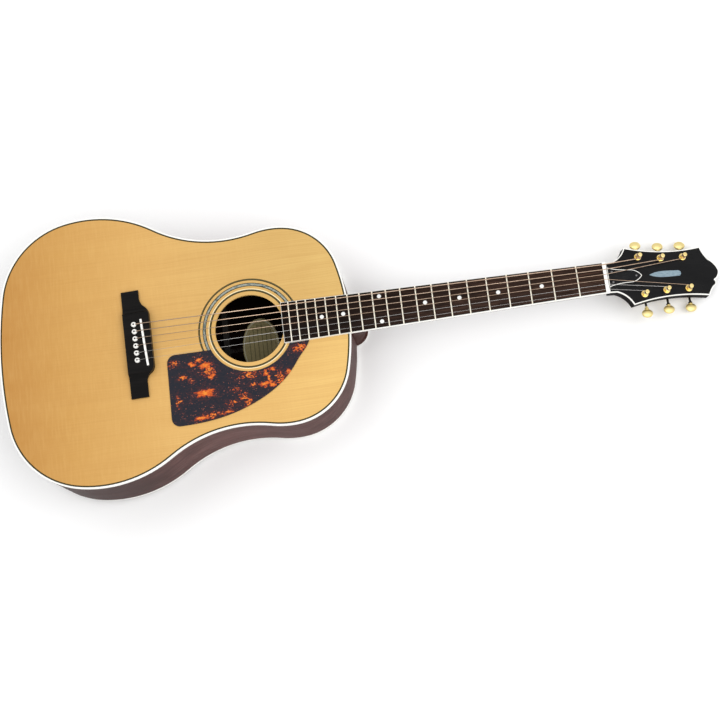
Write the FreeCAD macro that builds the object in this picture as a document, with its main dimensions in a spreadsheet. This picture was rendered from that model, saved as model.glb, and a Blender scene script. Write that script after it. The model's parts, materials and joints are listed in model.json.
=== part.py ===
import FreeCAD, Part
import math
import os
import Sketcher
from FreeCAD import Placement, Rotation, Vector

# Steel-string acoustic guitar with a slope-shouldered dreadnought body.
#
# The guitar is drawn in a bench frame: X runs along the neck towards the headstock with x = 0
# at the front of the nut, Y points to the bass side, and z = 0 is the face of the soundboard.
# rest_pose() then turns every piece so that the guitar lies on its domed back.

doc = FreeCAD.newDocument("AcousticGuitar")
sizes = doc.addObject("Spreadsheet::Sheet", "sizes")

DRIVING_SIZES = {
    # strings and frets
    "scale_length": 647.7,
    "fret_count": 20,
    "joint_fret": 14,
    "string_span_nut": 36.0,
    "string_span_bridge": 52.8,
    # body outline, seven arcs from the tail to the neck; the last one closes on the centre line
    "tail_arc": 613.0,
    "tail_sweep": 9.1,
    "corner_arc": 121.0,
    "corner_sweep": 70.7,
    "bout_arc": 181.0,
    "bout_sweep": 43.9,
    "waist_arc": 184.0,
    "waist_sweep": 46.7,
    "upper_arc": 120.0,
    "upper_sweep": 19.0,
    "shoulder_arc": 89.0,
    "shoulder_sweep": 70.0,
    "body_length": 507.8,
    # domed back
    "tail_depth": 125.0,
    "dome_radius": 4800.0,
    "dome_low_point": 23.0,
    "rest_tilt": 5.1,
    # shell of the sound box
    "soundboard_thickness": 3.0,
    "back_thickness": 2.7,
    "side_thickness": 2.3,
    "binding_width": 2.0,
    "binding_height": 6.0,
    "purfling_width": 2.2,
    "purfling_depth": 2.2,
    "lining_width": 5.7,
    "lining_height": 15.0,
    "center_strip_width": 6.0,
    "back_strip_width": 16.0,
    "back_strip_thickness": 2.2,
    "label_length": 56.0,
    "label_width": 88.0,
    "label_thickness": 0.3,
    # blocks
    "neck_block_length": 42.0,
    "neck_block_width": 84.0,
    "tail_block_length": 24.0,
    "tail_block_width": 90.0,
    "graft_width": 20.0,
    "end_pin_radius": 5.0,
    "tenon_length": 20.0,
    "tenon_width": 19.0,
    "tenon_depth": 70.0,
    # soundhole, rosette and pickguard
    "hole_position": 502.7,
    "hole_radius": 49.4,
    "rosette_inner": 55.0,
    "rosette_line": 2.6,
    "rosette_middle": 62.5,
    "rosette_band": 5.0,
    "rosette_outer": 71.2,
    "rosette_depth": 1.0,
    "pickguard_thickness": 0.9,
    "pickguard_clearance": 13.1,
    # bridge
    "bridge_back": 680.9,
    "bridge_belly": 38.0,
    "bridge_wing": 25.2,
    "bridge_length": 158.6,
    "bridge_slant": 1.4,
    "bridge_shift": 0.7,
    "bridge_height": 8.7,
    "bridge_wing_height": 3.4,
    "bridge_center_half": 44.0,
    "bridge_plate_length": 36.0,
    "bridge_plate_width": 114.0,
    "bridge_plate_thickness": 2.5,
    "pin_line": 665.5,
    "pin_radius": 2.5,
    "pin_head_radius": 3.8,
    "pin_dot_radius": 1.1,
    "pin_channel_half": 0.8,
    "pin_length": 16.9,
    "saddle_line": 652.7,
    "saddle_length": 69.0,
    "saddle_shift": 1.5,
    "saddle_width": 2.7,
    "saddle_slant": 4.6,
    "saddle_top": 12.2,
    "saddle_slot_depth": 5.0,
    # braces
    "brace_width": 8.0,
    "brace_height": 13.0,
    "x_brace_crossing": 588.0,
    "x_brace_angle": 49.0,
    "x_brace_length": 330.0,
    # fretboard
    "board_nut_width": 43.6,
    "board_end_width": 59.4,
    "board_length": 454.5,
    "board_height": 7.0,
    "board_radius": 406.4,
    "board_binding": 1.3,
    "fret_width": 2.2,
    "fret_tang": 2.0,
    "fret_slot": 0.6,
    "fret_slot_play": 0.03,
    "fret_slot_spare": 1.2,
    "marker_radius": 2.9,
    "marker_spread": 18.5,
    "marker_depth": 0.8,
    # nut
    "nut_length": 5.0,
    "nut_front_height": 9.4,
    "nut_back_height": 7.4,
    # neck
    "neck_depth_nut": 14.0,
    "neck_depth_heel": 16.0,
    "heel_cap_thickness": 2.5,
    "rod_radius": 3.0,
    "rod_depth": 5.0,
    # headstock
    "head_angle": 14.0,
    "head_face_height": 4.0,
    "head_thickness": 15.0,
    "head_length": 165.3,
    "veneer_thickness": 1.5,
    "head_binding_width": 1.2,
    "head_binding_height": 2.2,
    "cover_thickness": 1.4,
    "inlay_depth": 0.6,
    # tuning machines
    "tuner_pitch": 33.0,
    "tuner_first": 49.0,
    "treble_tuner_lead": 1.3,
    "post_radius": 3.0,
    "post_top": 11.5,
    "running_clearance": 0.05,
    "gear_teeth": 18,
    "gear_module": 0.525,
    "gear_height": 3.5,
    "worm_pitch_radius": 2.2,
    "worm_offset": 6.95,
    "worm_depth": 19.5,
    "plate_thickness": 1.2,
    "shaft_radius": 1.6,
    "button_reach": 23.1,
}

for row, (alias, value) in enumerate(DRIVING_SIZES.items(), start=1):
    sizes.set(f"A{row}", alias)
    sizes.set(f"B{row}", str(value))
    sizes.setAlias(f"B{row}", alias)
doc.recompute()

STRING_DIAMETERS = (0.30, 0.41, 0.62, 0.81, 1.07, 1.35)
MARKED_FRETS = (3, 5, 7, 9, 12, 15, 17)
POST_OFFSETS = (27.2, 23.6, 23.2)
BACK_BRACE_STATIONS = (415.0, 553.0, 690.0, 800.0)

sub_parts = []


# ---------------------------------------------------------------- helpers

def size(alias):
    """A driving size as a number."""
    return float(getattr(sizes, alias))


def bind(item, links):
    """Bind properties of an object to formulas; cells are written as {alias}."""
    for name, formula in links.items():
        text = str(formula).replace("{", "sizes.").replace("}", "")
        item.setExpression(name, text)
    return item


def place(item, x=0, y=0, z=0):
    """Bind the position of an object to three formulas."""
    return bind(item, {"Placement.Base.x": x, "Placement.Base.y": y, "Placement.Base.z": z})


def box(name, length, width, height, x=0, y=0, z=0):
    """Block with its low corner at x, y, z."""
    solid = doc.addObject("Part::Box", name)
    bind(solid, {"Length": length, "Width": width, "Height": height})
    return place(solid, x, y, z)


def rod(name, radius, height, x=0, y=0, z=0, axis=(0, 0, 1)):
    """Cylinder that starts at x, y, z and runs along axis."""
    solid = doc.addObject("Part::Cylinder", name)
    solid.Placement.Rotation = Rotation(Vector(0, 0, 1), Vector(*axis))
    bind(solid, {"Radius": radius, "Height": height})
    return place(solid, x, y, z)


def cut(name, base, tool):
    result = doc.addObject("Part::Cut", name)
    result.Base = base
    result.Tool = tool
    return result


def common(name, base, tool):
    result = doc.addObject("Part::Common", name)
    result.Base = base
    result.Tool = tool
    return result


def fuse(name, pieces):
    result = doc.addObject("Part::MultiFuse", name)
    result.Shapes = pieces
    return result


def group(name, pieces):
    result = doc.addObject("Part::Compound", name)
    result.Links = pieces
    return result


def feature(name, shape):
    """Piece that Part's own functions shape from the sheet's values."""
    item = doc.addObject("Part::Feature", name)
    item.Shape = shape
    return item


def extrude(name, face, bottom, top):
    """Solid over a face in the z = 0 plane, between two heights given as formulas."""
    solid = doc.addObject("Part::Extrusion", name)
    solid.Base = face
    solid.DirMode = "Custom"
    solid.Dir = Vector(0, 0, 1)
    solid.Solid = True
    return bind(solid, {"LengthFwd": top, "LengthRev": f"-({bottom})"})


def finish(item, label):
    """Register an object as a sub-part under the name of its file."""
    item.Label = label
    sub_parts.append(item)
    return item


def arc(start, middle, end):
    return Part.Arc(start, middle, end).toShape()


def line(start, end):
    return Part.LineSegment(start, end).toShape()


def polygon_face(points):
    return Part.Face(Part.makePolygon(points + [points[0]]))


def sketch_on(body, role, name):
    """Sketch on one of a body's own origin planes."""
    sketch = body.newObject("Sketcher::SketchObject", name)
    plane = next(item for item in body.Origin.OriginFeatures if item.Role == role)
    sketch.AttachmentSupport = (plane, [""])
    sketch.MapMode = "FlatFace"
    return sketch


def draw_outline(sketch, outline, links):
    """Closed outline of lines and arcs; links bind a corner's x or y, such as x2, to a formula.

    An item is (x, y) for a line to that corner, or (middle x, middle y, x, y) for an arc.
    """
    corners = [Vector(item[-2], item[-1], 0) for item in outline]
    for index, item in enumerate(outline):
        start = corners[index - 1]
        if len(item) == 4:
            geometry = Part.Arc(start, Vector(item[0], item[1], 0), corners[index])
        else:
            geometry = Part.LineSegment(start, corners[index])
        sketch.addGeometry(geometry, False)
        if len(item) == 4:
            continue
        for kind, value, axis in (("DistanceX", corners[index].x, -2), ("DistanceY", corners[index].y, -1)):
            letter = kind[-1].lower()
            if abs(value) < 1e-9:
                sketch.addConstraint(Sketcher.Constraint("PointOnObject", index, 2, axis))
                continue
            number = sketch.addConstraint(Sketcher.Constraint(kind, -1, 1, index, 2, value))
            if f"{letter}{index}" in links:
                sketch.renameConstraint(number, f"{letter}{index}")
                bind(sketch, {f"Constraints.{letter}{index}": links[f"{letter}{index}"]})


def turned(name, outline, links=None):
    """Body of revolution about its own Z axis from an outline of radii and heights."""
    body = doc.addObject("PartDesign::Body", name)
    profile = sketch_on(body, "XZ_Plane", name + "_profile")
    draw_outline(profile, outline, links or {})
    turn = body.newObject("PartDesign::Revolution", name + "_turn")
    turn.Profile = profile
    turn.ReferenceAxis = (profile, ["V_Axis"])
    turn.Angle = 360
    return body


def padded(name, role, outline, length, links=None, midplane=False):
    """Body padded from an outline on one of its origin planes; length is a formula."""
    body = doc.addObject("PartDesign::Body", name)
    profile = sketch_on(body, role, name + "_profile")
    draw_outline(profile, outline, links or {})
    pad = body.newObject("PartDesign::Pad", name + "_pad")
    pad.Profile = profile
    pad.SideType = "Symmetric" if midplane else "One side"
    bind(pad, {"Length": length})
    return body


def pocket(body, name, role, outline, length, reverse=False):
    """Blind pocket from one of the body's origin planes; it must remove material."""
    doc.recompute()
    before = body.Shape.Volume
    profile = sketch_on(body, role, name + "_profile")
    draw_outline(profile, outline, {})
    removal = body.newObject("PartDesign::Pocket", name)
    removal.Profile = profile
    removal.Reversed = reverse
    bind(removal, {"Length": length})
    doc.recompute()
    if body.Shape.Volume > before - 1e-3:
        raise RuntimeError(name + " removes nothing")
    return body


def copies(name, template, placements):
    """One node that repeats a template's solid at several placements."""
    shapes = []
    for placement in placements:
        shape = template.Shape.copy()
        shape.Placement = placement.multiply(shape.Placement)
        shapes.append(shape)
    return feature(name, Part.makeCompound(shapes))


# ---------------------------------------------------------------- shared geometry

BODY_END = -size("scale_length") * (1 - 2 ** (-size("joint_fret") / 12))
BODY_TAIL = BODY_END - size("body_length")
HOLE_CENTER = Vector(-size("hole_position"), 0, 0)
DOME_CENTER = Vector(BODY_TAIL - size("dome_low_point"), 0, size("dome_radius") - size("tail_depth"))
BODY_ARCS = (
    (size("tail_arc"), size("tail_sweep")),
    (size("corner_arc"), size("corner_sweep")),
    (size("bout_arc"), size("bout_sweep")),
    (-size("waist_arc"), size("waist_sweep")),
    (size("upper_arc"), size("upper_sweep")),
    (size("shoulder_arc"), size("shoulder_sweep")),
)


def fret_position(number):
    return -size("scale_length") * (1 - 2 ** (-number / 12))


def outward(heading):
    """Unit normal on the outer side of an outline walked clockwise."""
    angle = math.radians(heading)
    return Vector(-math.sin(angle), math.cos(angle), 0)


def half_outline(inset):
    """Bass half of the body outline from tail to neck, moved inwards."""
    point = Vector(BODY_TAIL, 0, 0)
    heading = 90.0
    edges = []
    for radius, sweep in BODY_ARCS:
        turn = -math.copysign(sweep, radius)
        center = point - outward(heading) * radius
        ends = [center + outward(heading + turn * part) * (radius - inset) for part in (0, 0.5, 1)]
        edges.append(arc(*ends))
        heading += turn
        point = center + outward(heading) * radius
    radius = point.y / math.cos(math.radians(heading))
    center = point - outward(heading) * radius
    ends = [center + outward(heading + (-90 - heading) * part) * (radius - inset) for part in (0, 0.5, 1)]
    edges.append(arc(*ends))
    return edges


def body_face(name, inset):
    """Flat face inside the body outline."""
    edges = half_outline(inset)
    mirrored = [edge.mirror(Vector(), Vector(0, 1, 0)) for edge in edges]
    loop = Part.Wire(Part.__sortEdges__(edges + mirrored))
    return feature(name, Part.Face(loop))


def back_depth(x, y=0.0):
    """Height of the outer surface of the back under a point, in the bench frame."""
    flat = (x - DOME_CENTER.x) ** 2 + y ** 2
    return DOME_CENTER.z - math.sqrt(size("dome_radius") ** 2 - flat)


def dome(name, inset):
    """Ball whose lowest cap is the back surface moved inwards; its seam stays off the guitar."""
    ball = doc.addObject("Part::Sphere", name)
    ball.Placement = Placement(DOME_CENTER, Rotation(Vector(1, 0, 0), 90))
    return bind(ball, {"Radius": f"{{dome_radius}} - ({inset})"})


def head_frame(u=0.0, y=0.0, n=0.0):
    """Frame on the headstock: u towards its tip, n out of its face."""
    base = Placement(
        Vector(size("nut_length"), 0, size("head_face_height")),
        Rotation(Vector(0, 1, 0), size("head_angle")),
    )
    return base.multiply(Placement(Vector(u, y, n), Rotation()))


def string_offset(index, x):
    """Y of a string, numbered 0 (thin, treble) to 5 (thick, bass)."""
    share = index / 5 - 0.5
    nut = share * size("string_span_nut")
    pins = share * size("string_span_bridge")
    return nut + (pins - nut) * -x / size("pin_line")


def pin_center(index):
    """Middle of a bridge pin on the soundboard's face; the row slants with the bridge."""
    y = (index / 5 - 0.5) * size("string_span_bridge")
    return Vector(-size("pin_line") - y * math.tan(math.radians(size("bridge_slant"))), y, 0)


def board_half_width(x, inset=0.0):
    slope = (size("board_end_width") - size("board_nut_width")) / size("board_length")
    return (size("board_nut_width") - slope * x) / 2 - inset


outer_face = body_face("outer_face", 0)
binding_face = body_face("binding_face", size("binding_width"))
purfling_face = body_face("purfling_face", size("binding_width") + size("purfling_width"))
side_face = body_face("side_face", size("side_thickness"))
lining_face = body_face("lining_face", size("side_thickness") + size("lining_width"))

dome_outer = dome("dome_outer", "0")
dome_inner = dome("dome_inner", "{back_thickness}")
dome_binding = dome("dome_binding", "{binding_height}")

BELOW_BACK = "-{tail_depth} - 10"
outer_prism = extrude("outer_prism", outer_face, BELOW_BACK, "0")
binding_prism = extrude("binding_prism", binding_face, BELOW_BACK, "0")
side_prism = extrude("side_prism", side_face, BELOW_BACK, "-{soundboard_thickness}")
lining_prism = extrude("lining_prism", lining_face, BELOW_BACK, "0")


# ---------------------------------------------------------------- soundboard and rosette

def rosette_ring(name, inner, width):
    """Flat ring let into the face of the soundboard round the soundhole."""
    disc = rod(name + "_disc", f"{inner} + {width}", "{rosette_depth}",
               "-{hole_position}", 0, "-{rosette_depth}")
    core = rod(name + "_core", inner, "{rosette_depth} * 3",
               "-{hole_position}", 0, "-{rosette_depth} * 2")
    return cut(name, disc, core)


def rosette_rings(suffix):
    """The three rings of the rosette."""
    return group("rosette_" + suffix, [
        rosette_ring("rosette_inner_" + suffix, "{rosette_inner}", "{rosette_line}"),
        rosette_ring("rosette_middle_" + suffix, "{rosette_middle}", "{rosette_band}"),
        rosette_ring("rosette_outer_" + suffix, "{rosette_outer}", "{rosette_line}"),
    ])


def pin_bores(suffix, radius, bottom, top):
    """Six bores on the pin line, from bottom to top."""
    bores = []
    for index in range(6):
        y = f"({index} / 5 - 0.5) * {{string_span_bridge}}"
        x = f"-{{pin_line}} - {y} * tan({{bridge_slant}} * 1 deg)"
        name = f"pin_bore_{suffix}_{index + 1}"
        bores.append(rod(name, radius, f"{top} - ({bottom})", x, y, bottom))
    return group("pin_bores_" + suffix, bores)


board_core = extrude("board_core", purfling_face, "-{soundboard_thickness}", "0")
board_lip = extrude("board_lip", binding_face, "-{soundboard_thickness}", "-{purfling_depth}")
board_blank = fuse("board_blank", [board_core, board_lip])
soundhole = rod("soundhole", "{hole_radius}", "{soundboard_thickness} * 3",
                "-{hole_position}", 0, "-{soundboard_thickness} * 2")
board_tools = group("board_tools", [
    soundhole,
    rosette_rings("channel"),
    pin_bores("soundboard", "{pin_radius}", "-{soundboard_thickness} - 1", "1"),
])
finish(cut("soundboard_cut", board_blank, board_tools), "soundboard")
finish(rosette_rings("inlay"), "rosette")


def pickguard_shape():
    """Guard that hugs the rosette and the fretboard on the treble side."""
    clear = size("hole_radius") + size("pickguard_clearance")
    side = 0.3
    near = -0.5 - board_half_width(-448)
    inner_start = Vector(HOLE_CENTER.x + math.sqrt(clear ** 2 - near ** 2), near, 0)
    top_edge = -24.0
    inner_end = Vector(HOLE_CENTER.x - math.sqrt(clear ** 2 - top_edge ** 2), top_edge, 0)
    inner_low = HOLE_CENTER + Vector(0, -clear, 0)
    left_edge = -624.6
    corner = 12.0
    bend = corner * (1 - math.sqrt(0.5))
    low_edge = -127.9
    tip = Vector(-420, -side - board_half_width(-420), 0)
    outer = Part.BSplineCurve()
    outer.interpolate(
        Points=[Vector(left_edge + corner, low_edge, 0), Vector(-548, -121.8, 0),
                Vector(-490, -100.8, 0), Vector(-448, -67.4, 0), Vector(-433.4, -48, 0), tip],
        InitialTangent=Vector(1, 0, 0), FinalTangent=Vector(0.42, 1, 0),
    )
    edges = [
        arc(inner_start, inner_low, inner_end),
        line(inner_end, Vector(left_edge + corner, top_edge, 0)),
        arc(Vector(left_edge + corner, top_edge, 0), Vector(left_edge + bend, top_edge - bend, 0),
            Vector(left_edge, top_edge - corner, 0)),
        line(Vector(left_edge, top_edge - corner, 0), Vector(left_edge, low_edge + corner, 0)),
        arc(Vector(left_edge, low_edge + corner, 0), Vector(left_edge + bend, low_edge + bend, 0),
            Vector(left_edge + corner, low_edge, 0)),
        outer.toShape(),
        line(tip, inner_start),
    ]
    return Part.Face(Part.Wire(edges))


pickguard_face = feature("pickguard_face", pickguard_shape())
finish(extrude("pickguard_plate", pickguard_face, "0", "{pickguard_thickness}"), "pickguard")


# ---------------------------------------------------------------- sides, bindings, linings

binding_outer = extrude("binding_outer", outer_face, "-{binding_height}", "0")
finish(cut("top_binding_ring", binding_outer, binding_prism), "top_binding")
purfling_outer = extrude("purfling_outer", binding_face, "-{purfling_depth}", "0")
purfling_core = extrude("purfling_core", purfling_face, "-{purfling_depth} - 1", "1")
finish(cut("top_purfling_ring", purfling_outer, purfling_core), "top_purfling")
back_edge = common("back_edge", cut("back_edge_ring", outer_prism, binding_prism), dome_outer)
finish(cut("back_binding_ring", back_edge, dome_binding), "back_binding")

rib_outer = extrude("rib_outer", outer_face, BELOW_BACK, "-{binding_height}")
rib_ring = cut("rib_ring", rib_outer, side_prism)
rib_shell = common("rib_shell", rib_ring, dome_binding)
tenon_gap = box("tenon_gap", 30, "{tenon_width}", "{tail_depth}",
                BODY_END - 15, "-{tenon_width} / 2", "-{tail_depth}")
graft_gap = box("graft_gap", 30, "{graft_width}", "{tail_depth} + 10",
                BODY_TAIL - 15, "-{graft_width} / 2", BELOW_BACK)
rib_gaps = group("rib_gaps", [tenon_gap, graft_gap])
ribs = cut("ribs", rib_shell, rib_gaps)
for label, low_y in (("side_bass", "0"), ("side_treble", "-{corner_arc} * 2")):
    half = box(label + "_half", "{body_length} + 40", "{corner_arc} * 2", "{tail_depth} + 20",
               BODY_TAIL - 20, low_y, BELOW_BACK)
    finish(common(label + "_cut", ribs, half), label)
end_pin_bore = rod("end_pin_bore", "{end_pin_radius}", "{tail_block_length} + 20", BODY_TAIL - 5, 0,
                   "-{tail_depth} / 2", (1, 0, 0))
tail_graft_blank = common("tail_graft_blank", rib_shell, graft_gap)
finish(cut("tail_graft_cut", tail_graft_blank, end_pin_bore), "tail_graft")

neck_block_zone = box("neck_block_zone", "{neck_block_length} + 10", "{neck_block_width}",
                      "{tail_depth} + 10", f"{BODY_END} - {{neck_block_length}}",
                      "-{neck_block_width} / 2", BELOW_BACK)
tail_block_zone = box("tail_block_zone", "{tail_block_length} + 10", "{tail_block_width}",
                      "{tail_depth} + 10", BODY_TAIL - 10, "-{tail_block_width} / 2", BELOW_BACK)
block_space = common("block_space", side_prism, dome_inner)
mortise = box("mortise", "{tenon_length} + 12", "{tenon_width}", "{tenon_depth} + 10",
              f"{BODY_END} - {{tenon_length}}", "-{tenon_width} / 2", "-{tenon_depth}")
neck_block_blank = common("neck_block_blank", block_space, neck_block_zone)
finish(cut("neck_block_cut", neck_block_blank, mortise), "neck_block")
tail_block_blank = common("tail_block_blank", block_space, tail_block_zone)
finish(cut("tail_block_cut", tail_block_blank, end_pin_bore), "tail_block")

lining_ring = cut("lining_ring", block_space, lining_prism)
lining_below_top = box("lining_below_top", "{body_length} + 40", "{corner_arc} * 4",
                       "{lining_height} + {soundboard_thickness}", BODY_TAIL - 20,
                       "-{corner_arc} * 2", "-{lining_height} - {soundboard_thickness}")
dome_lining = dome("dome_lining", "{back_thickness} + {lining_height}")
lining_top = common("lining_top", lining_ring, lining_below_top)
lining_back = cut("lining_back", lining_ring, dome_lining)
lining_tools = group("lining_tools", [neck_block_zone, tail_block_zone])
finish(cut("linings_cut", group("lining_pair", [lining_top, lining_back]), lining_tools), "linings")


# ---------------------------------------------------------------- back

back_blank = common("back_blank", binding_prism, dome_outer)
back_shell = cut("back_shell", back_blank, dome_inner)
strip_zone = box("strip_zone", "{body_length} + 40", "{center_strip_width}", "{tail_depth} + 20",
                 BODY_TAIL - 20, "-{center_strip_width} / 2", BELOW_BACK)
for label, low_y in (("back_plate_bass", "{center_strip_width} / 2"),
                     ("back_plate_treble", "-{center_strip_width} / 2 - {corner_arc} * 2")):
    half = box(label + "_half", "{body_length} + 40", "{corner_arc} * 2", "{tail_depth} + 20",
               BODY_TAIL - 20, low_y, BELOW_BACK)
    finish(common(label + "_cut", back_shell, half), label)
finish(common("back_center_strip_cut", back_shell, strip_zone), "back_center_strip")

inner_space = common("inner_space", lining_prism, dome_inner)


def back_brace(index, station):
    """Bar across the back; the two near the tail are wide and low."""
    wide = index > 1
    width = 16.0 if wide else 8.5
    height = 9.0 if wide else 15.0
    floor = back_depth(-station)
    name = f"back_brace_{index + 1}"
    bar = box(name + "_bar", width, "{corner_arc} * 4", height + 20,
              -station - width / 2, "-{corner_arc} * 2", floor - 20)
    return common(name, inner_space, bar)


back_bars = [back_brace(index, station) for index, station in enumerate(BACK_BRACE_STATIONS)]
finish(group("back_brace_set", back_bars), "back_braces")


def back_strip_piece(start, end):
    """Length of reinforcement strip between two stations along the centre line."""
    name = f"back_strip_{int(start)}"
    bar = box(name + "_bar", end - start, "{back_strip_width}", "{tail_depth}",
              -end, "-{back_strip_width} / 2", BELOW_BACK)
    above = dome(name + "_dome", "{back_thickness} + {back_strip_thickness}")
    return cut(name, common(name + "_blank", inner_space, bar), above)


strip_spans = (
    (BACK_BRACE_STATIONS[1] + 4.25, BACK_BRACE_STATIONS[2] - 8.0),
    (BACK_BRACE_STATIONS[2] + 8.0, BACK_BRACE_STATIONS[3] - 8.0),
    (BACK_BRACE_STATIONS[3] + 8.0, -BODY_TAIL - size("tail_block_length")),
)
strip_pieces = [back_strip_piece(start, end) for start, end in strip_spans]
finish(group("back_strip_set", strip_pieces), "back_reinforcement_strip")


def label_shape():
    oval = Part.Ellipse(HOLE_CENTER + Vector(0, size("label_width") / 2, 0),
                        HOLE_CENTER + Vector(size("label_length") / 2, 0, 0), HOLE_CENTER)
    return Part.Face(Part.Wire(oval.toShape()))


label_face = feature("label_face", label_shape())
label_blank = common("label_blank", extrude("label_prism", label_face, BELOW_BACK, "-20"), dome_inner)
label_above = dome("label_above", "{back_thickness} + {label_thickness}")
finish(cut("label_cut", label_blank, label_above), "label")


# ---------------------------------------------------------------- braces under the soundboard

def top_bar(name, x, y, angle, length, width, height):
    """Bar glued under the soundboard, centred on x, y and turned about Z."""
    bar = doc.addObject("Part::Box", name)
    bar.Length = length
    bar.Width = width
    bar.Height = height
    turn = Rotation(Vector(0, 0, 1), angle)
    corner = turn.multVec(Vector(-length / 2, -width / 2, 0))
    bar.Placement = Placement(Vector(x, y, -size("soundboard_thickness") - height) + corner, turn)
    return bar


x_center = -size("x_brace_crossing")
x_bars = [
    top_bar(f"x_bar_{side}", x_center, 0, side * size("x_brace_angle"),
              size("x_brace_length") * 1.25, size("brace_width"), size("brace_height"))
    for side in (-1, 1)
]
x_pair = fuse("x_pair", x_bars)
finish(common("x_brace_cut", x_pair, lining_prism), "x_brace")

# transverse bar above the soundhole, two tone bars behind the X and four finger braces
SOUNDBOARD_BARS = (
    ("transverse_bar", -425.0, 0.0, 90.0, 280.0, 9.0, 15.0),
    ("tone_bar_front", -745.0, 15.0, 66.0, 150.0, 7.0, 11.0),
    ("tone_bar_rear", -795.0, 20.0, 66.0, 150.0, 7.0, 11.0),
    ("finger_bass_front", -598.0, 82.0, 68.0, 60.0, 6.0, 7.0),
    ("finger_bass_rear", -650.0, 128.0, 68.0, 60.0, 6.0, 7.0),
    ("finger_treble_front", -598.0, -82.0, -68.0, 60.0, 6.0, 7.0),
    ("finger_treble_rear", -650.0, -128.0, -68.0, 60.0, 6.0, 7.0),
)
bar_set = group("soundboard_bar_set", [top_bar(*spec) for spec in SOUNDBOARD_BARS])
bar_trim = common("bar_trim", bar_set, lining_prism)
finish(cut("soundboard_braces_cut", bar_trim, x_pair), "soundboard_braces")


# ---------------------------------------------------------------- bridge

def bridge_flare(wing, belly, side, outer, inner):
    """Front edge of the bridge from a wing to the belly: two equal arcs that meet at a slant."""
    run = outer - inner
    rise = belly - wing
    bend = (run ** 2 + rise ** 2) / (4 * rise)
    half_turn = math.atan2(rise, run)
    step = bend * math.sin(half_turn)
    drop = bend * (1 - math.cos(half_turn))
    middle = Vector((wing + belly) / 2, side * (outer + inner) / 2, 0)
    start = Vector(wing, side * outer, 0)
    end = Vector(belly, side * inner, 0)
    return [
        arc(start, Vector(wing + drop, side * (outer - step), 0), middle),
        arc(middle, Vector(belly - drop, side * (inner + step), 0), end),
    ]


def bridge_plan():
    """Belly bridge seen from above: straight back, two wings and a belly towards the soundhole."""
    back = -size("bridge_back")
    half = size("bridge_length") / 2
    wing = back + size("bridge_wing")
    belly = back + size("bridge_belly")
    edges = [line(Vector(back, -half, 0), Vector(back, half, 0))]
    for side, outer, inner in ((1, 67.5, 40.0), (-1, 57.0, 34.0)):
        edges += [
            line(Vector(back, side * half, 0), Vector(wing, side * half, 0)),
            line(Vector(wing, side * half, 0), Vector(wing, side * outer, 0)),
            *bridge_flare(wing, belly, side, outer, inner),
            line(Vector(belly, side * inner, 0), Vector(belly, 0, 0)),
        ]
    return Part.Face(Part.Wire(Part.__sortEdges__(edges)))


def bridge_side():
    """Bridge seen from the tail: full height in the middle, scooped down to thin wings."""
    half = size("bridge_length") / 2
    center = size("bridge_center_half")
    scoop = 12.0
    top = size("bridge_height")
    low = size("bridge_wing_height")
    drop = top - low
    tip = low - 0.6
    edges = [
        line(Vector(0, 0, 0), Vector(0, half, 0)),
        line(Vector(0, half, 0), Vector(0, half, tip)),
        line(Vector(0, half, tip), Vector(0, center + scoop, low)),
        arc(Vector(0, center + scoop, low), Vector(0, center + scoop * 0.36, low + drop * 0.28),
            Vector(0, center, top)),
        line(Vector(0, center, top), Vector(0, 0, top)),
    ]
    mirrored = [edge.mirror(Vector(), Vector(0, 1, 0)) for edge in edges]
    face = Part.Face(Part.Wire(Part.__sortEdges__(edges + mirrored)))
    return face.extrude(Vector(-2 * size("bridge_back"), 0, 0))


bridge_turn = Placement(Vector(0, -size("bridge_shift"), 0),
                        Rotation(Vector(0, 0, 1), size("bridge_slant")), Vector(-size("pin_line"), 0, 0))
bridge_prism = extrude("bridge_prism", feature("bridge_plan_face", bridge_plan()), "0",
                       "{bridge_height} + 5")
bridge_blank = common("bridge_blank", bridge_prism, feature("bridge_side_solid", bridge_side()))
bridge_blank.Placement = bridge_turn
saddle_bar = doc.addObject("Part::Box", "saddle_bar")
bind(saddle_bar, {"Length": "{saddle_width}", "Width": "{saddle_length}",
                  "Height": "{saddle_top} - {bridge_height} + {saddle_slot_depth} + 5"})
saddle_turn = Rotation(Vector(0, 0, 1), size("saddle_slant"))
saddle_center = Vector(-size("saddle_line"), -size("saddle_shift"),
                       size("bridge_height") - size("saddle_slot_depth"))
saddle_half = Vector(size("saddle_width") / 2, size("saddle_length") / 2, 0)
saddle_bar.Placement = Placement(saddle_center - saddle_turn.multVec(saddle_half), saddle_turn)
saddle_crown = rod("saddle_crown", "{board_radius}", 60, "-{saddle_line} - 30", 0,
                   "{saddle_top} - {board_radius}", (1, 0, 0))
finish(common("saddle_cut", saddle_bar, saddle_crown), "saddle")
bridge_tools = group("bridge_tools", [saddle_bar, pin_bores("bridge", "{pin_radius}", "-1", "20")])
finish(cut("bridge_cut", bridge_blank, bridge_tools), "bridge")

plate_blank = box("plate_blank", "{bridge_plate_length}", "{bridge_plate_width}",
                  "{bridge_plate_thickness}", "-{bridge_back} - 1", "-{bridge_plate_width} / 2",
                  "-{soundboard_thickness} - {bridge_plate_thickness}")
plate_tools = group("plate_tools", [x_pair, pin_bores("plate", "{pin_radius}", "-8", "1")])
finish(cut("bridge_plate_cut", plate_blank, plate_tools), "bridge_plate")


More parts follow.
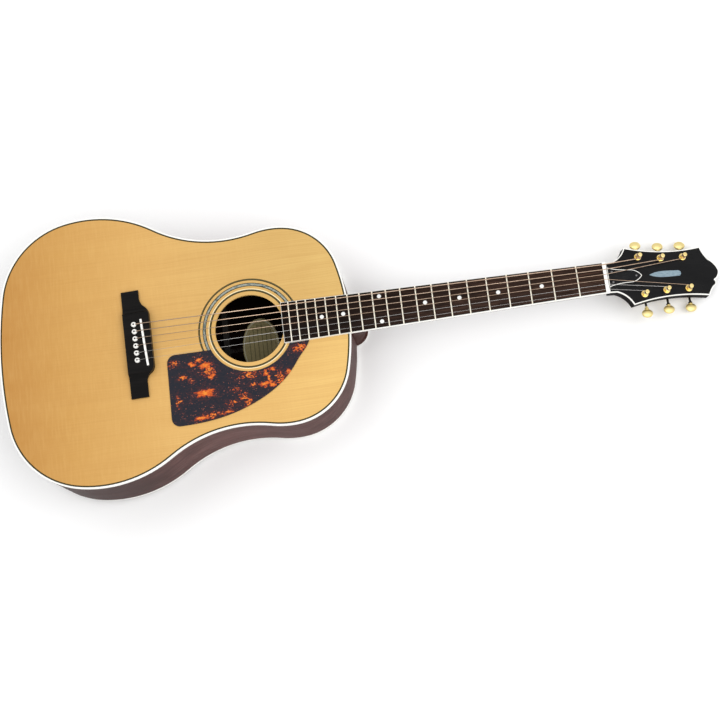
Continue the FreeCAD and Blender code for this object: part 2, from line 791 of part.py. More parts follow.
# tapered pin with a domed head, standing in its bore, and a string channel down its front
PIN_CHANNEL = [
    (0.8, -size("pin_channel_half")),
    (4.2, -size("pin_channel_half")),
    (4.2, size("pin_channel_half")),
    (0.8, size("pin_channel_half")),
]
pin_body = turned("bridge_pin_body", [
    (0, -size("pin_length")),
    (size("pin_radius") - 0.4, -size("pin_length")),
    (size("pin_radius") - 0.02, 0),
    (size("pin_head_radius"), 0),
    (size("pin_head_radius"), 0.9),
    (size("pin_head_radius") * 0.78, 2.4, size("pin_dot_radius"), 3.1),
    (0, 3.1),
], {"x3": "{pin_head_radius}", "x4": "{pin_head_radius}", "y0": "-{pin_length}", "y1": "-{pin_length}"})
pocket(pin_body, "bridge_pin_channel", "XY_Plane", PIN_CHANNEL, "{pin_length} + 1")
pocket(pin_body, "bridge_pin_head_slot", "XY_Plane", PIN_CHANNEL, "2.9", True)
pin_rise = Vector(0, 0, size("bridge_height"))
pin_places = [Placement(pin_center(index) + pin_rise, Rotation()) for index in range(6)]
finish(copies("bridge_pin_set", pin_body, pin_places), "bridge_pins")


# ---------------------------------------------------------------- strap button

button_body = turned("strap_button_body", [
    (0, -18.0),
    (size("end_pin_radius") - 0.5, -18.0),
    (size("end_pin_radius"), 0),
    (7.5, 0),
    (7.5, 1.5),
    (4.2, 4.5, 7.0, 8.0),
    (7.0, 10.5),
    (5.4, 12.0, 2.0, 12.5),
    (0, 12.5),
])
button_body.Placement = Placement(
    Vector(BODY_TAIL, 0, -size("tail_depth") / 2), Rotation(Vector(0, 1, 0), -90))
finish(button_body, "strap_button")


# ---------------------------------------------------------------- fretboard

def board_plan(inset, start, end):
    """Tapered plan of the fretboard between two stations along the neck."""
    corners = [
        Vector(start, board_half_width(start, inset), 0),
        Vector(end, board_half_width(end, inset), 0),
        Vector(end, -board_half_width(end, inset), 0),
        Vector(start, -board_half_width(start, inset), 0),
    ]
    return polygon_face(corners)


board_start = 0.0
board_end = -size("board_length")
binding_inset = size("board_binding")
outer_plan = feature("outer_plan", board_plan(0, board_start, board_end))
core_plan = feature("core_plan", board_plan(binding_inset, board_start, board_end + binding_inset))
board_outer = extrude("board_outer", outer_plan, "0", "{board_height} + 2")
board_core_prism = extrude("board_core_prism", core_plan, "-1", "{board_height} + 4")
board_crown = rod("board_crown", "{board_radius}", "{board_length} + 20", "-{board_length} - 10", 0,
                  "{board_height} - {board_radius}", (1, 0, 0))
board_crowned = common("board_crowned", board_outer, board_crown)
finish(cut("board_binding_cut", board_crowned, board_core_prism), "fretboard_binding")

slots = []
for number in range(1, int(size("fret_count")) + 1):
    position = f"-{{scale_length}} * (1 - 2 ^ (-{number} / 12))"
    slots.append(box(f"fret_slot_{number}", "{fret_slot}", "{board_end_width}", 6,
                     f"{position} - {{fret_slot}} / 2", "-{board_end_width} / 2",
                     "{board_height} - {fret_tang} - {fret_slot_spare}"))

marker_places = []
for number in MARKED_FRETS:
    x = (fret_position(number - 1) + fret_position(number)) / 2
    spread = size("marker_spread") if number == 12 else 0
    marker_places += [(x, spread), (x, -spread)] if spread else [(x, 0)]
dots = [
    rod(f"marker_{index + 1}", "{marker_radius}", 5, x, y, "{board_height} - {marker_depth}")
    for index, (x, y) in enumerate(marker_places)
]
marker_group = group("marker_group", dots)
board_core_solid = common("board_core_solid", board_crowned, board_core_prism)
board_cutters = group("board_cutters", slots + [marker_group])
finish(cut("fretboard_cut", board_core_solid, board_cutters), "fretboard")
finish(common("markers_cut", marker_group, board_crown), "position_markers")


def fret(number):
    """Crowned fret wire bent to the board's radius, with its tang in the slot."""
    x = fret_position(number)
    top = size("board_height")
    half = size("fret_width") / 2
    axis = Vector(0, 0, top - size("board_radius"))
    crown = Part.Face(Part.Wire([
        arc(Vector(x - half, 0, top), Vector(x, 0, top + half), Vector(x + half, 0, top)),
        line(Vector(x + half, 0, top), Vector(x - half, 0, top)),
    ]))
    slot = size("fret_slot") / 2 - size("fret_slot_play")
    tang = polygon_face([
        Vector(x - slot, 0, top - size("fret_tang")), Vector(x + slot, 0, top - size("fret_tang")),
        Vector(x + slot, 0, top), Vector(x - slot, 0, top),
    ])
    pieces = []
    for face, inset in ((crown, 0.4), (tang, binding_inset + 0.1)):
        reach = math.degrees(math.asin(board_half_width(x, inset) / size("board_radius")))
        face.rotate(axis, Vector(1, 0, 0), -reach)
        pieces.append(face.revolve(axis, Vector(1, 0, 0), 2 * reach))
    return pieces[0].fuse(pieces[1]).removeSplitter()


fret_shapes = [fret(number) for number in range(1, int(size("fret_count")) + 1)]
finish(feature("fret_set", Part.makeCompound(fret_shapes)), "frets")


# ---------------------------------------------------------------- nut

nut_body = padded("nut_body", "XZ_Plane", [
    (0, 0),
    (size("nut_length"), 0),
    (size("nut_length"), size("nut_back_height")),
    (size("nut_length") - 1.3, size("nut_front_height") - 0.1, 1.0, size("nut_front_height") + 0.5),
    (0, size("nut_front_height") + 0.5),
], "{board_nut_width}", {"x1": "{nut_length}", "x2": "{nut_length}"}, True)
nut_crown = rod("nut_crown", "{board_radius}", 20, -5, 0, "{nut_front_height} - {board_radius}", (1, 0, 0))
nut_blank = common("nut_blank", nut_body, nut_crown)


# ---------------------------------------------------------------- tuning machine places

HEAD_SIDES = (("bass", 1), ("treble", -1))
TUNERS = []
for side_name, side in HEAD_SIDES:
    for place_number, across in enumerate(POST_OFFSETS):
        # strings run 1 to 3 on the treble side and 6 to 4 on the bass side, nearest the nut first
        string_number = 6 - place_number if side > 0 else 1 + place_number
        along = size("tuner_first") + place_number * size("tuner_pitch")
        along += size("treble_tuner_lead") if side < 0 else 0
        TUNERS.append({"string": string_number, "side": side, "u": along, "y": side * across})
TUNERS.sort(key=lambda tuner: tuner["string"])


# ---------------------------------------------------------------- strings

WINDING_HEIGHT = 5.0


def tangent_tube(points, bends, radius):
    """Round tube along straight runs joined by tangent arcs of the given radii."""
    edges = []
    start = points[0]
    for index, bend in enumerate(bends, start=1):
        before = (points[index - 1] - points[index]).normalize()
        after = (points[index + 1] - points[index]).normalize()
        half_angle = before.getAngle(after) / 2
        reach = bend / math.tan(half_angle)
        bisector = (before + after).normalize()
        center = points[index] + bisector * (bend / math.sin(half_angle))
        leave = points[index] + before * reach
        join = points[index] + after * reach
        edges.append(line(start, leave))
        edges.append(arc(leave, center - bisector * bend, join))
        start = join
    edges.append(line(start, points[-1]))
    path = Part.Wire(edges)
    ring = Part.Wire(Part.makeCircle(radius, points[0], points[1] - points[0]))
    tube = path.makePipeShell([ring], True, False)
    expected = math.pi * radius ** 2 * path.Length
    if abs(tube.Volume - expected) > 0.02 * expected:
        raise RuntimeError("a string's volume doesn't match its length")
    return tube


def saddle_break(index):
    """Point just over the rear edge of the crowned saddle where a string bends down to its pin."""
    y = string_offset(index, -size("saddle_line"))
    slant = math.radians(size("saddle_slant"))
    x = -size("saddle_line") - (y + size("saddle_shift")) * math.tan(slant)
    x -= size("saddle_width") / 2 / math.cos(slant)
    crown = size("saddle_top") - size("board_radius") + math.sqrt(size("board_radius") ** 2 - y ** 2)
    return Vector(x, y, crown + 0.12)


def string_route(tuner):
    """Corners of a string from its ball end to the inner side of its post."""
    index = tuner["string"] - 1
    radius = STRING_DIAMETERS[index] / 2
    pin = pin_center(index)
    front = pin.x + size("pin_radius") - 0.95
    post_side = tuner["y"] - tuner["side"] * (size("post_radius") + radius)
    finish_point = head_frame(tuner["u"], post_side, WINDING_HEIGHT).Base
    nut_point = Vector(2.0, string_offset(index, 2.0), size("nut_front_height") - 0.1 + radius)
    direction = (finish_point - nut_point).normalize()
    gap = 0.3
    return [
        Vector(front, pin.y, -9.0),
        Vector(front, pin.y, size("bridge_height") + 0.8 + radius),
        saddle_break(index) + Vector(-0.1, 0, radius),
        nut_point,
        finish_point - direction * gap,
    ]


def string_shape(tuner):
    """String with the ball end that anchors it under the bridge plate."""
    route = string_route(tuner)
    radius = STRING_DIAMETERS[tuner["string"] - 1] / 2
    tube = tangent_tube(route, (1.6, 4.0, 6.0), radius)
    ball_radius = 1.9
    ball_length = 3.2
    ball_start = route[0] + Vector(0, -ball_length / 2, 0.5 - ball_radius)
    ball = Part.makeCylinder(ball_radius, ball_length, ball_start, Vector(0, 1, 0))
    return tube.fuse(ball)


nut_slots = []
for tuner in TUNERS:
    route = string_route(tuner)
    radius = STRING_DIAMETERS[tuner["string"] - 1] / 2 + 0.06
    finish(feature(f"string_{tuner['string']}_wire", string_shape(tuner)), f"string_{tuner['string']}")
    slot_halves = []
    for step in (-1, 1):
        heading = (route[3 + step] - route[3]).normalize()
        start = route[3] - heading * 0.4 + Vector(0, 0, -0.03)
        slot_halves.append(Part.makeCylinder(radius, 12, start, heading))
    nut_slots.append(slot_halves[0].fuse(slot_halves[1]))
finish(cut("nut_cut", nut_blank, feature("nut_slots", Part.makeCompound(nut_slots))), "nut")


# ---------------------------------------------------------------- headstock outline

def head_outline():
    """Headstock seen from its face, in the headstock frame; its treble side stands a little higher."""
    half = size("board_nut_width") / 2
    treble_lead = 2.2
    flare_start = Vector(9.0, half, 0)
    flare = Vector(20.6, 28.0, 0)
    shoulder = Vector(31.0, 41.8, 0)
    waist = Vector(86.0, 33.4, 0)
    corner = Vector(143.0, 36.6, 0)
    inflection = Vector(152.6, 17.4, 0)
    crest = Vector(size("head_length"), 0, 0)
    notch = Vector(156.9, -13.2, 0)
    ear = Vector(154.6, -22.3, 0)
    treble_corner = Vector(145.7, -35.2, 0)

    def across(point):
        return Vector(point.x + treble_lead, -point.y, 0)

    treble_waist = Vector(88.5, -32.8, 0)
    return Part.Wire([
        line(Vector(0, -half, 0), Vector(0, half, 0)),
        line(Vector(0, half, 0), flare_start),
        arc(flare_start, flare, shoulder),
        arc(shoulder, waist, corner),
        arc(corner, Vector(146.9, 26.0, 0), inflection),
        arc(inflection, Vector(161.6, 8.6, 0), crest),
        arc(crest, Vector(163.0, -7.6, 0), notch),
        arc(notch, Vector(158.4, -17.6, 0), ear),
        arc(ear, Vector(149.6, -28.2, 0), treble_corner),
        arc(treble_corner, treble_waist, across(shoulder)),
        arc(across(shoulder), across(flare), across(flare_start)),
        line(across(flare_start), Vector(0, -half, 0)),
    ])


def on_head(shape):
    """Shape drawn in the headstock frame, put in its place."""
    placed = shape.copy()
    placed.Placement = head_frame().multiply(placed.Placement)
    return placed


def head_slab(wire, top, bottom):
    """Solid between two depths under the headstock's face."""
    slab = Part.Face(wire).extrude(Vector(0, 0, bottom - top))
    slab.translate(Vector(0, 0, top))
    return slab


head_wire = head_outline()
head_inner_wire = head_wire.makeOffset2D(-size("head_binding_width"), 0, False, False, False)


def post_bores(radius, top, bottom):
    """Bores for the six string posts, in the headstock frame."""
    return Part.makeCompound([
        Part.makeCylinder(radius, top - bottom, Vector(tuner["u"], tuner["y"], bottom))
        for tuner in TUNERS
    ])


BUSHING_RADIUS = 4.0
BUSHING_DEPTH = 9.0
PLATE_SCREWS = (-8.6, 14.0)
COVER_SCREWS = ((7.0, 7.5), (7.0, -7.5), (42.0, 0.0))


def inlay_outline():
    """Teardrop with its point towards the nut."""
    point = Vector(61.6, 0, 0)
    end = 108.8
    nose_start = end - 3.6
    edges = [arc(Vector(nose_start, 4.0, 0), Vector(end, 0, 0), Vector(nose_start, -4.0, 0))]
    for side in (1, -1):
        flank = Part.BSplineCurve()
        flank.interpolate([point, Vector(72, side * 3.4, 0), Vector(88, side * 4.5, 0),
                           Vector(nose_start, side * 4.0, 0)])
        edges.append(flank.toShape())
    return Part.Wire(Part.__sortEdges__(edges))


def cover_outline():
    """Bell-shaped cover over the truss rod's pocket."""
    start = 0.6
    waist = 35.0
    tip = Vector(50.6, 0, 0)
    edges = [line(Vector(start, 14.6, 0), Vector(start, -14.6, 0))]
    for side in (1, -1):
        flank = Part.BSplineCurve()
        flank.interpolate([Vector(start, side * 14.6, 0), Vector(9.5, side * 12.0, 0),
                           Vector(21, side * 10.2, 0), Vector(waist, side * 9.4, 0)])
        edges += [flank.toShape(),
                  arc(Vector(waist, side * 9.4, 0), Vector(44.2, side * 6.2, 0), tip)]
    return Part.Wire(Part.__sortEdges__(edges))


veneer = head_slab(head_inner_wire, 0, -size("veneer_thickness"))
inlay = head_slab(inlay_outline(), 0, -size("inlay_depth"))
rod_pocket_top = Part.makeBox(26, 11, 13.2, Vector(3.0, -5.5, -11.2))
cover_screw_bores = Part.makeCompound([
    Part.makeCylinder(0.9, 8.0, Vector(u, y, -6.5)) for u, y in COVER_SCREWS
])
veneer_tools = [inlay, rod_pocket_top, post_bores(BUSHING_RADIUS, 2, -4), cover_screw_bores]
finish(feature("veneer", on_head(veneer.cut(veneer_tools))), "headstock_veneer")
finish(feature("inlay", on_head(inlay)), "headstock_inlay")
head_rim = head_slab(head_wire, 0, -size("head_binding_height"))
head_rim_core = head_slab(head_inner_wire, 1, -size("head_binding_height") - 1)
nut_side = Part.makeBox(0.6, 60, 20, Vector(0, -30, -10))
head_rim = head_rim.cut([head_rim_core, nut_side])
finish(feature("head_rim", on_head(head_rim)), "headstock_binding")
cover = head_slab(cover_outline(), size("cover_thickness"), 0)
finish(feature("cover", on_head(cover.cut(cover_screw_bores))), "truss_rod_cover")


# ---------------------------------------------------------------- neck

def neck_section(x, depth):
    """Half-oval section of the neck under the fretboard."""
    half = board_half_width(x)
    center = Vector(x, 0, 0)
    oval = Part.Ellipse(Vector(x, half, 0), Vector(x, 0, -depth), center)
    left, right = Vector(x, half, 0), Vector(x, -half, 0)
    first = oval.parameter(left)
    last = oval.parameter(right)
    middle = oval.value((first + last) / 2)
    if middle.z > 0:
        last += 2 * math.pi
    curve = oval.toShape(first, last)
    return Part.Wire([curve, line(curve.Vertexes[-1].Point, curve.Vertexes[0].Point)])


def heel_section(z, reach, half):
    """Level section through the heel: flat against the body, rounded towards the nut."""
    center = Vector(BODY_END - 6, 0, z)
    nose = reach + 6
    major, minor = (nose, half) if nose > half else (half, nose)
    tip = center + (Vector(nose, 0, 0) if nose > half else Vector(0, half, 0))
    side = center + (Vector(0, half, 0) if nose > half else Vector(-nose, 0, 0))
    oval = Part.Ellipse(tip, side, center)
    left = center + Vector(0, half, 0)
    right = center - Vector(0, half, 0)
    ends = sorted([oval.parameter(left), oval.parameter(right)])
    if oval.value(sum(ends) / 2).x < center.x:
        ends = [ends[1], ends[0] + 2 * math.pi]
    curve = oval.toShape(ends[0], ends[1])
    return Part.Wire([curve, line(curve.Vertexes[-1].Point, curve.Vertexes[0].Point)])


HEEL_BOTTOM = back_depth(BODY_END) + size("heel_cap_thickness")
HEEL_SECTIONS = (
    (-1.0, 92.0, 27.0),
    (-14.0, 58.5, 26.6),
    (-26.0, 35.0, 25.4),
    (-42.0, 25.0, 24.4),
    (-66.0, 19.5, 23.6),
)
HEEL_TOE = (18.5, 23.0)


def plate_screw_bores():
    """Pilot bores for the tuner plates' screws, in the headstock frame."""
    bores = []
    for tuner in TUNERS:
        for offset in PLATE_SCREWS:
            at = Vector(tuner["u"] + offset, tuner["y"], -size("head_thickness") - 1)
            bores.append(Part.makeCylinder(1.1, 9.0, at))
    return Part.makeCompound(bores)


def neck_shape():
    """Shaft, heel, tenon and headstock from one piece of wood, with its bores and pockets."""
    shaft = Part.makeLoft([
        neck_section(BODY_END + 2, size("neck_depth_heel")),
        neck_section(-120, size("neck_depth_nut") + 0.9),
        neck_section(0, size("neck_depth_nut")),
        neck_section(24, size("neck_depth_nut") - 1.5),
    ], True)
    heel = Part.makeLoft([
        heel_section(*section) for section in HEEL_SECTIONS + ((HEEL_BOTTOM, *HEEL_TOE),)
    ], True)
    head = head_slab(head_inner_wire, -size("veneer_thickness"), -size("head_thickness"))
    head = head.fuse(head_slab(head_wire, -size("head_binding_height"), -size("head_thickness")))
    over_face = on_head(Part.makeBox(80, 120, 40, Vector(-20, -60, -size("veneer_thickness"))))
    over_board = Part.makeBox(200, 120, 60, Vector(BODY_END - 20, -60, 0))
    nut_ledge = Part.makeBox(60, 120, 40, Vector(size("nut_length") - 60, -60, 0))
    tenon = Part.makeBox(size("tenon_length") + 12, size("tenon_width"), size("tenon_depth") - 6,
                         Vector(BODY_END - size("tenon_length"), -size("tenon_width") / 2,
                                -size("tenon_depth")))
    wood = shaft.fuse([heel]).cut([outer_prism.Shape, over_board])
    wood = wood.cut(over_face).fuse([on_head(head).cut(nut_ledge)])
    wood = wood.fuse([tenon])
    rod_channel = Part.makeBox(366, 2 * size("rod_radius"), size("rod_depth") + size("rod_radius"),
                               Vector(-345, -size("rod_radius"), -size("rod_depth") - size("rod_radius")))
    bushing_bores = post_bores(BUSHING_RADIUS, 2, -BUSHING_DEPTH)
    shaft_bores = post_bores(size("post_radius") + 0.6, 2, -size("head_thickness") - 2)
    on_head_tools = (head_rim, rod_pocket_top, bushing_bores, shaft_bores, cover_screw_bores,
                     plate_screw_bores())
    return wood.cut([rod_channel] + [on_head(shape) for shape in on_head_tools]).removeSplitter()


doc.recompute()
finish(feature("neck_wood", neck_shape()), "neck")
cap_section = heel_section(HEEL_BOTTOM, *HEEL_TOE)
cap_solid = Part.Face(cap_section).extrude(Vector(0, 0, -size("heel_cap_thickness")))
finish(feature("heel_cap_plate", cap_solid.cut(outer_prism.Shape)), "heel_cap")

rod_solid = rod("truss_rod_bar", "{rod_radius} - 0.1", 360, -344, 0, "-{rod_depth}", (1, 0, 0))
rod_nut = rod("truss_rod_nut", "{rod_radius} + 0.8", 9, 12, 0, "-{rod_depth}", (1, 0, 0))
finish(fuse("truss_rod_fuse", [rod_solid, rod_nut]), "truss_rod")


# ---------------------------------------------------------------- tuning machines

def tuner_place(tuner):
    return head_frame(tuner["u"], tuner["y"])


def tuner_side(shape, tuner):
    """Shape drawn for the bass side, mirrored for the treble side, at its tuner."""
    placed = shape if tuner["side"] > 0 else shape.mirror(Vector(), Vector(0, 1, 0))
    placed = placed.copy()
    placed.Placement = tuner_place(tuner).multiply(placed.Placement)
    return placed


def screw_body(name, head_radius, shank_radius, length):
    """Round-headed wood screw whose head stands above z = 0."""
    return turned(name, [
        (0, -length), (shank_radius, -length + 2.0), (shank_radius, 0), (head_radius, 0),
        (head_radius, 0.3), (head_radius * 0.75, 0.95, 0.4, 1.25), (0, 1.25),
    ])


bushing_body = turned("bushing_body", [
    (size("post_radius") + size("running_clearance"), -BUSHING_DEPTH),
    (BUSHING_RADIUS, -BUSHING_DEPTH),
    (BUSHING_RADIUS, 0),
    (5.1, 0),
    (5.1, 0.5),
    (4.9, 0.8),
    (3.9, 0.8),
    (3.9, 2.6),
    (size("post_radius") + size("running_clearance"), 2.6),
], {"x0": "{post_radius} + {running_clearance}", "x8": "{post_radius} + {running_clearance}"})
lobe = bushing_body.newObject("PartDesign::Pad", "bushing_lobe")
lobe_sketch = sketch_on(bushing_body, "XY_Plane", "bushing_lobe_profile")
lobe_sketch.addGeometry(Part.Circle(Vector(3.75, 0, 0), Vector(0, 0, 1), 0.62), False)
lobe.Profile = lobe_sketch
lobe.Length = 2.2
lobes = bushing_body.newObject("PartDesign::PolarPattern", "bushing_lobes")
lobes.Originals = [lobe]
lobes.Axis = (lobe_sketch, ["N_Axis"])
lobes.Angle = 360
lobes.Occurrences = 6
bushing_body.Tip = lobes
doc.recompute()
finish(copies("bushing_set", bushing_body, [tuner_place(tuner) for tuner in TUNERS]), "tuner_bushings")

screw = screw_body("plate_screw", 1.9, 1.0, 8.0)
small_screw = screw_body("cover_screw", 1.6, 0.8, 6.0)
doc.recompute()
flip_over = Placement(Vector(), Rotation(Vector(1, 0, 0), 180))
plate_back = -size("head_thickness") - size("plate_thickness")
screw_places = [
    head_frame(tuner["u"] + offset, tuner["y"], plate_back).multiply(flip_over)
    for tuner in TUNERS for offset in PLATE_SCREWS
]
finish(copies("plate_screw_set", screw, screw_places), "tuner_screws")
cover_places = [head_frame(u, y, size("cover_thickness")) for u, y in COVER_SCREWS]
finish(copies("cover_screw_set", small_screw, cover_places), "truss_cover_screws")


def tuner_plate():
    """Base plate on the back of the headstock with two ears that carry the worm shaft."""
    back = -size("head_thickness")
    plate = Part.makeBox(28, 16, size("plate_thickness"), Vector(-11.4, -8, plate_back))
    upright = [edge for edge in plate.Edges if edge.Vertexes[0].Point.sub(edge.Vertexes[1].Point).z]
    plate = plate.makeFillet(3.0, upright)
    ear_half = 2.8
    for low in (-7.4, 6.2):
        ear = Part.makeBox(2 * ear_half, 1.2, size("worm_depth") + back + 2.8,
                           Vector(size("worm_offset") - ear_half, low, -size("worm_depth") - 2.8))
        plate = plate.fuse(ear)
    journal = size("shaft_radius") + size("running_clearance")
    shaft_start = Vector(size("worm_offset"), -12, -size("worm_depth"))
    bores = [
        Part.makeCylinder(journal, 24, shaft_start, Vector(0, 1, 0)),
        Part.makeCylinder(size("post_radius") + size("running_clearance"), 4,
                          Vector(0, 0, plate_back - 1)),
    ]
    bores += [Part.makeCylinder(1.1, 4, Vector(offset, 0, plate_back - 1)) for offset in PLATE_SCREWS]
    return plate.cut(bores)


def gear_blank():
    """Worm wheel whose teeth lean at the worm's lead angle."""
    module = size("gear_module")
    pitch_radius = module * size("gear_teeth") / 2
    tip = pitch_radius + module * 0.9
    root = pitch_radius - module * 1.35
    height = size("gear_height")
    pitch = math.pi * module
    tooth = 0.34 * pitch
    slope = math.tan(math.radians(20))
    outer = tip + 0.5
    half_root = (pitch - tooth) / 2 - (pitch_radius - root) * slope
    half_tip = (pitch - tooth) / 2 + (outer - pitch_radius) * slope
    lead = math.degrees(math.atan(pitch / (2 * math.pi * size("worm_pitch_radius"))))
    wheel = Part.makeCylinder(tip, height, Vector(0, 0, -height / 2))
    gap = polygon_face([Vector(root, -half_root, -height), Vector(outer, -half_tip, -height),
                        Vector(outer, half_tip, -height), Vector(root, half_root, -height)])
    gap = gap.extrude(Vector(0, 0, 2 * height))
    gap.rotate(Vector(pitch_radius, 0, 0), Vector(1, 0, 0), -lead)
    gaps = []
    for tooth_number in range(int(size("gear_teeth"))):
        turned_gap = gap.copy()
        turned_gap.rotate(Vector(), Vector(0, 0, 1), 360 / size("gear_teeth") * tooth_number)
        gaps.append(turned_gap)
    wheel = wheel.cut(gaps)
    wheel.translate(Vector(0, 0, -size("worm_depth")))
    return wheel


def post_shape():
    """String post with a waist for the winding, a string hole and its worm wheel."""
    radius = size("post_radius")
    top = size("post_top")
    gear_top = -size("worm_depth") + size("gear_height") / 2
    gear_bottom = gear_top - size("gear_height")
    stem = Part.makeCylinder(radius, 3.4 - gear_bottom, Vector(0, 0, gear_bottom))
    waist = Part.makeCylinder(radius - 0.5, 8, Vector(0, 0, 2))
    cap = Part.makeCylinder(radius, top - 8.6, Vector(0, 0, 8.6))
    cap = cap.makeFillet(0.7, [edge for edge in cap.Edges if abs(edge.BoundBox.ZMin - top) < 1e-6])
    keeper = Part.makeCylinder(2.4, 1.2, Vector(0, 0, gear_bottom - 1.2))
    collar = Part.makeCylinder(radius + 0.7, plate_back - 0.15 - gear_top, Vector(0, 0, gear_top))
    post = stem.fuse([waist, cap, keeper, collar, gear_blank()])
    string_hole = Part.makeCylinder(0.9, 10, Vector(-5, 0, 6.6), Vector(1, 0, 0))
    return post.cut(string_hole).removeSplitter()


def worm_thread():
    """Single-start thread whose crest meets the wheel at the middle of the worm."""
    pitch = math.pi * size("gear_module")
    core = size("worm_pitch_radius") - 0.75
    crest = size("worm_pitch_radius") + 0.38
    slope = math.tan(math.radians(20))
    half_crest = 0.16 * pitch - (crest - size("worm_pitch_radius")) * slope
    half_root = 0.16 * pitch + (size("worm_pitch_radius") - core) * slope
    length = 5 * pitch
    path = Part.makeHelix(pitch, length, core)
    inner = core - 0.1
    section = Part.makePolygon([
        Vector(inner, 0, -half_root), Vector(crest, 0, -half_crest),
        Vector(crest, 0, half_crest), Vector(inner, 0, half_root), Vector(inner, 0, -half_root),
    ])
    thread = Part.Wire(path).makePipeShell([section], True, True)
    thread.translate(Vector(0, 0, -length / 2))
    return thread


def worm_shape():
    """Threaded shaft across the back of the headstock, with its button."""
    core = size("worm_pitch_radius") - 0.75
    shaft = size("shaft_radius")
    reach = size("button_reach")
    # the thread's helix starts on +X; half its turns later, at the middle, it faces the wheel on -X
    pieces = [
        worm_thread(),
        Part.makeCylinder(shaft, 3.0, Vector(0, 0, -8.4)),
        Part.makeCylinder(shaft, reach - 5.4, Vector(0, 0, 5.4)),
        Part.makeCylinder(2.3, 0.6, Vector(0, 0, 5.4)),
        Part.makeCylinder(2.3, 0.6, Vector(0, 0, -6.0)),
        Part.makeCylinder(2.9, 3.4, Vector(0, 0, reach - 8.2)),
    ]
    return Part.makeCylinder(core, 12, Vector(0, 0, -6)).fuse(pieces)


def button_head():
    """Flattened oval button at the end of the worm's shaft."""
    half_long = 8.2
    half_wide = 6.2
    half_thick = 2.7
    ball = Part.makeSphere(1.0)
    matrix = FreeCAD.Matrix()
    matrix.scale(half_long, half_thick, half_wide)
    oval = ball.transformGeometry(matrix)
    oval.translate(Vector(0, 0, size("button_reach")))
    return oval


def worm_and_button():
    """Worm shaft drawn along Z, laid along Y at its place beside the post."""
    whole = worm_shape().fuse(button_head())
    lay = Placement(Vector(size("worm_offset"), 0, -size("worm_depth")), Rotation(Vector(1, 0, 0), -90))
    whole.Placement = lay.multiply(whole.Placement)
    return whole


plate_shape = tuner_plate()
plates = Part.makeCompound([tuner_side(plate_shape, tuner) for tuner in TUNERS])
finish(feature("tuner_plate_set", plates), "tuner_plates")
post_template = post_shape()
worm_template = worm_and_button()
for tuner in TUNERS:
    number = tuner["string"]
    finish(feature(f"post_{number}", tuner_side(post_template, tuner)), f"string_post_{number}")
    finish(feature(f"worm_{number}", tuner_side(worm_template, tuner)), f"tuning_button_{number}")


# ---------------------------------------------------------------- resting place and files

def rest_pose():
    """Turn that lays the dome of the back on the ground, with the origin under the middle."""
    turn = Placement(Vector(), Rotation(Vector(0, 1, 0), size("rest_tilt")))
    whole = FreeCAD.BoundBox()
    for item in sub_parts:
        shape = item.Shape.copy()
        shape.Placement = turn.multiply(shape.Placement)
        whole.add(shape.optimalBoundingBox(False, False))
    middle = Vector((whole.XMin + whole.XMax) / 2, (whole.YMin + whole.YMax) / 2, whole.ZMin)
    return Placement(-middle, Rotation()).multiply(turn)


def check_document():
    """Stop if any object failed or a sub-part isn't a sound solid."""
    for item in doc.Objects:
        if any(flag in item.State for flag in ("Invalid", "Error")):
            raise RuntimeError(f"{item.Name} failed: {item.State}")
    for item in sub_parts:
        if item.Shape.isNull() or not item.Shape.isValid() or not item.Shape.Solids:
            raise RuntimeError(item.Label + " has no valid solid")


doc.recompute()
check_document()
REST = rest_pose()
for item in sub_parts:
    item.Placement = REST.multiply(item.Placement)
doc.recompute()
check_document()
os.makedirs("parts", exist_ok=True)
for item in sub_parts:
    item.Shape.exportStep(f"parts/{item.Label}.step")
print(len(sub_parts), "sub-parts written")
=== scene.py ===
"""Acoustic guitar: finishes, inlay lines, string windings, floor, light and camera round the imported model."""

import json
import math

import bmesh
import bpy
from mathutils import Euler, Matrix, Vector


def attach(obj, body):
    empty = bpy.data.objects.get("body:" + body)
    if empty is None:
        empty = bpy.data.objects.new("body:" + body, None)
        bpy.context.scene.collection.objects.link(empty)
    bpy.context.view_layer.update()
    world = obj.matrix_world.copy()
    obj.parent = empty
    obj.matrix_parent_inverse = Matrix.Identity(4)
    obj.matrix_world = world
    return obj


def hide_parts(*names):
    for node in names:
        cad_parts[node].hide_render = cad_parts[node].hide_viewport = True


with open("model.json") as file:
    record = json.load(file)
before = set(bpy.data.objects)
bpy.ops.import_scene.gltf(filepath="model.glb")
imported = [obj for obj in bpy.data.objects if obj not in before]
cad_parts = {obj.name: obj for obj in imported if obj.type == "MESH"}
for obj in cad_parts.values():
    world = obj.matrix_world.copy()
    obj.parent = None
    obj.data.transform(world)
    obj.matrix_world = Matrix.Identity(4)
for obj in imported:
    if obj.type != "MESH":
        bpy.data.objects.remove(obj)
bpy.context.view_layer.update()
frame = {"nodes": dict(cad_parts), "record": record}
record = frame["record"]
nodes = frame["nodes"]

MM = 0.001


# ---------------------------------------------------------------- the guitar's own axes

def drawing_axes():
    """Matrix from the guitar's own axes to the row frame, in metres.

    Its own axes have x along the neck from the front of the nut, y to the bass side, z out of the top.
    """
    button = next(mount for mount in record["mounts"] if mount["name"] == "strap_button")
    tilt = math.atan2(button["axis"][2], -button["axis"][0])
    turn = Matrix.Rotation(tilt, 4, "Y")
    level = turn.inverted()
    top = max((level @ vertex.co).z for vertex in nodes["soundboard"].data.vertices)
    nut = min((level @ vertex.co).x for vertex in nodes["nut"].data.vertices)
    return turn @ Matrix.Translation((nut, 0, top))


AXES = drawing_axes()
AXES_BACK = AXES.inverted()


def place(x, y, z):
    """Point in the row frame, in metres, from millimetres on the guitar's own axes."""
    return AXES @ (Vector((x, y, z)) * MM)


def own(point):
    """Millimetres on the guitar's own axes from a point in the row frame."""
    return (AXES_BACK @ Vector(point)) / MM


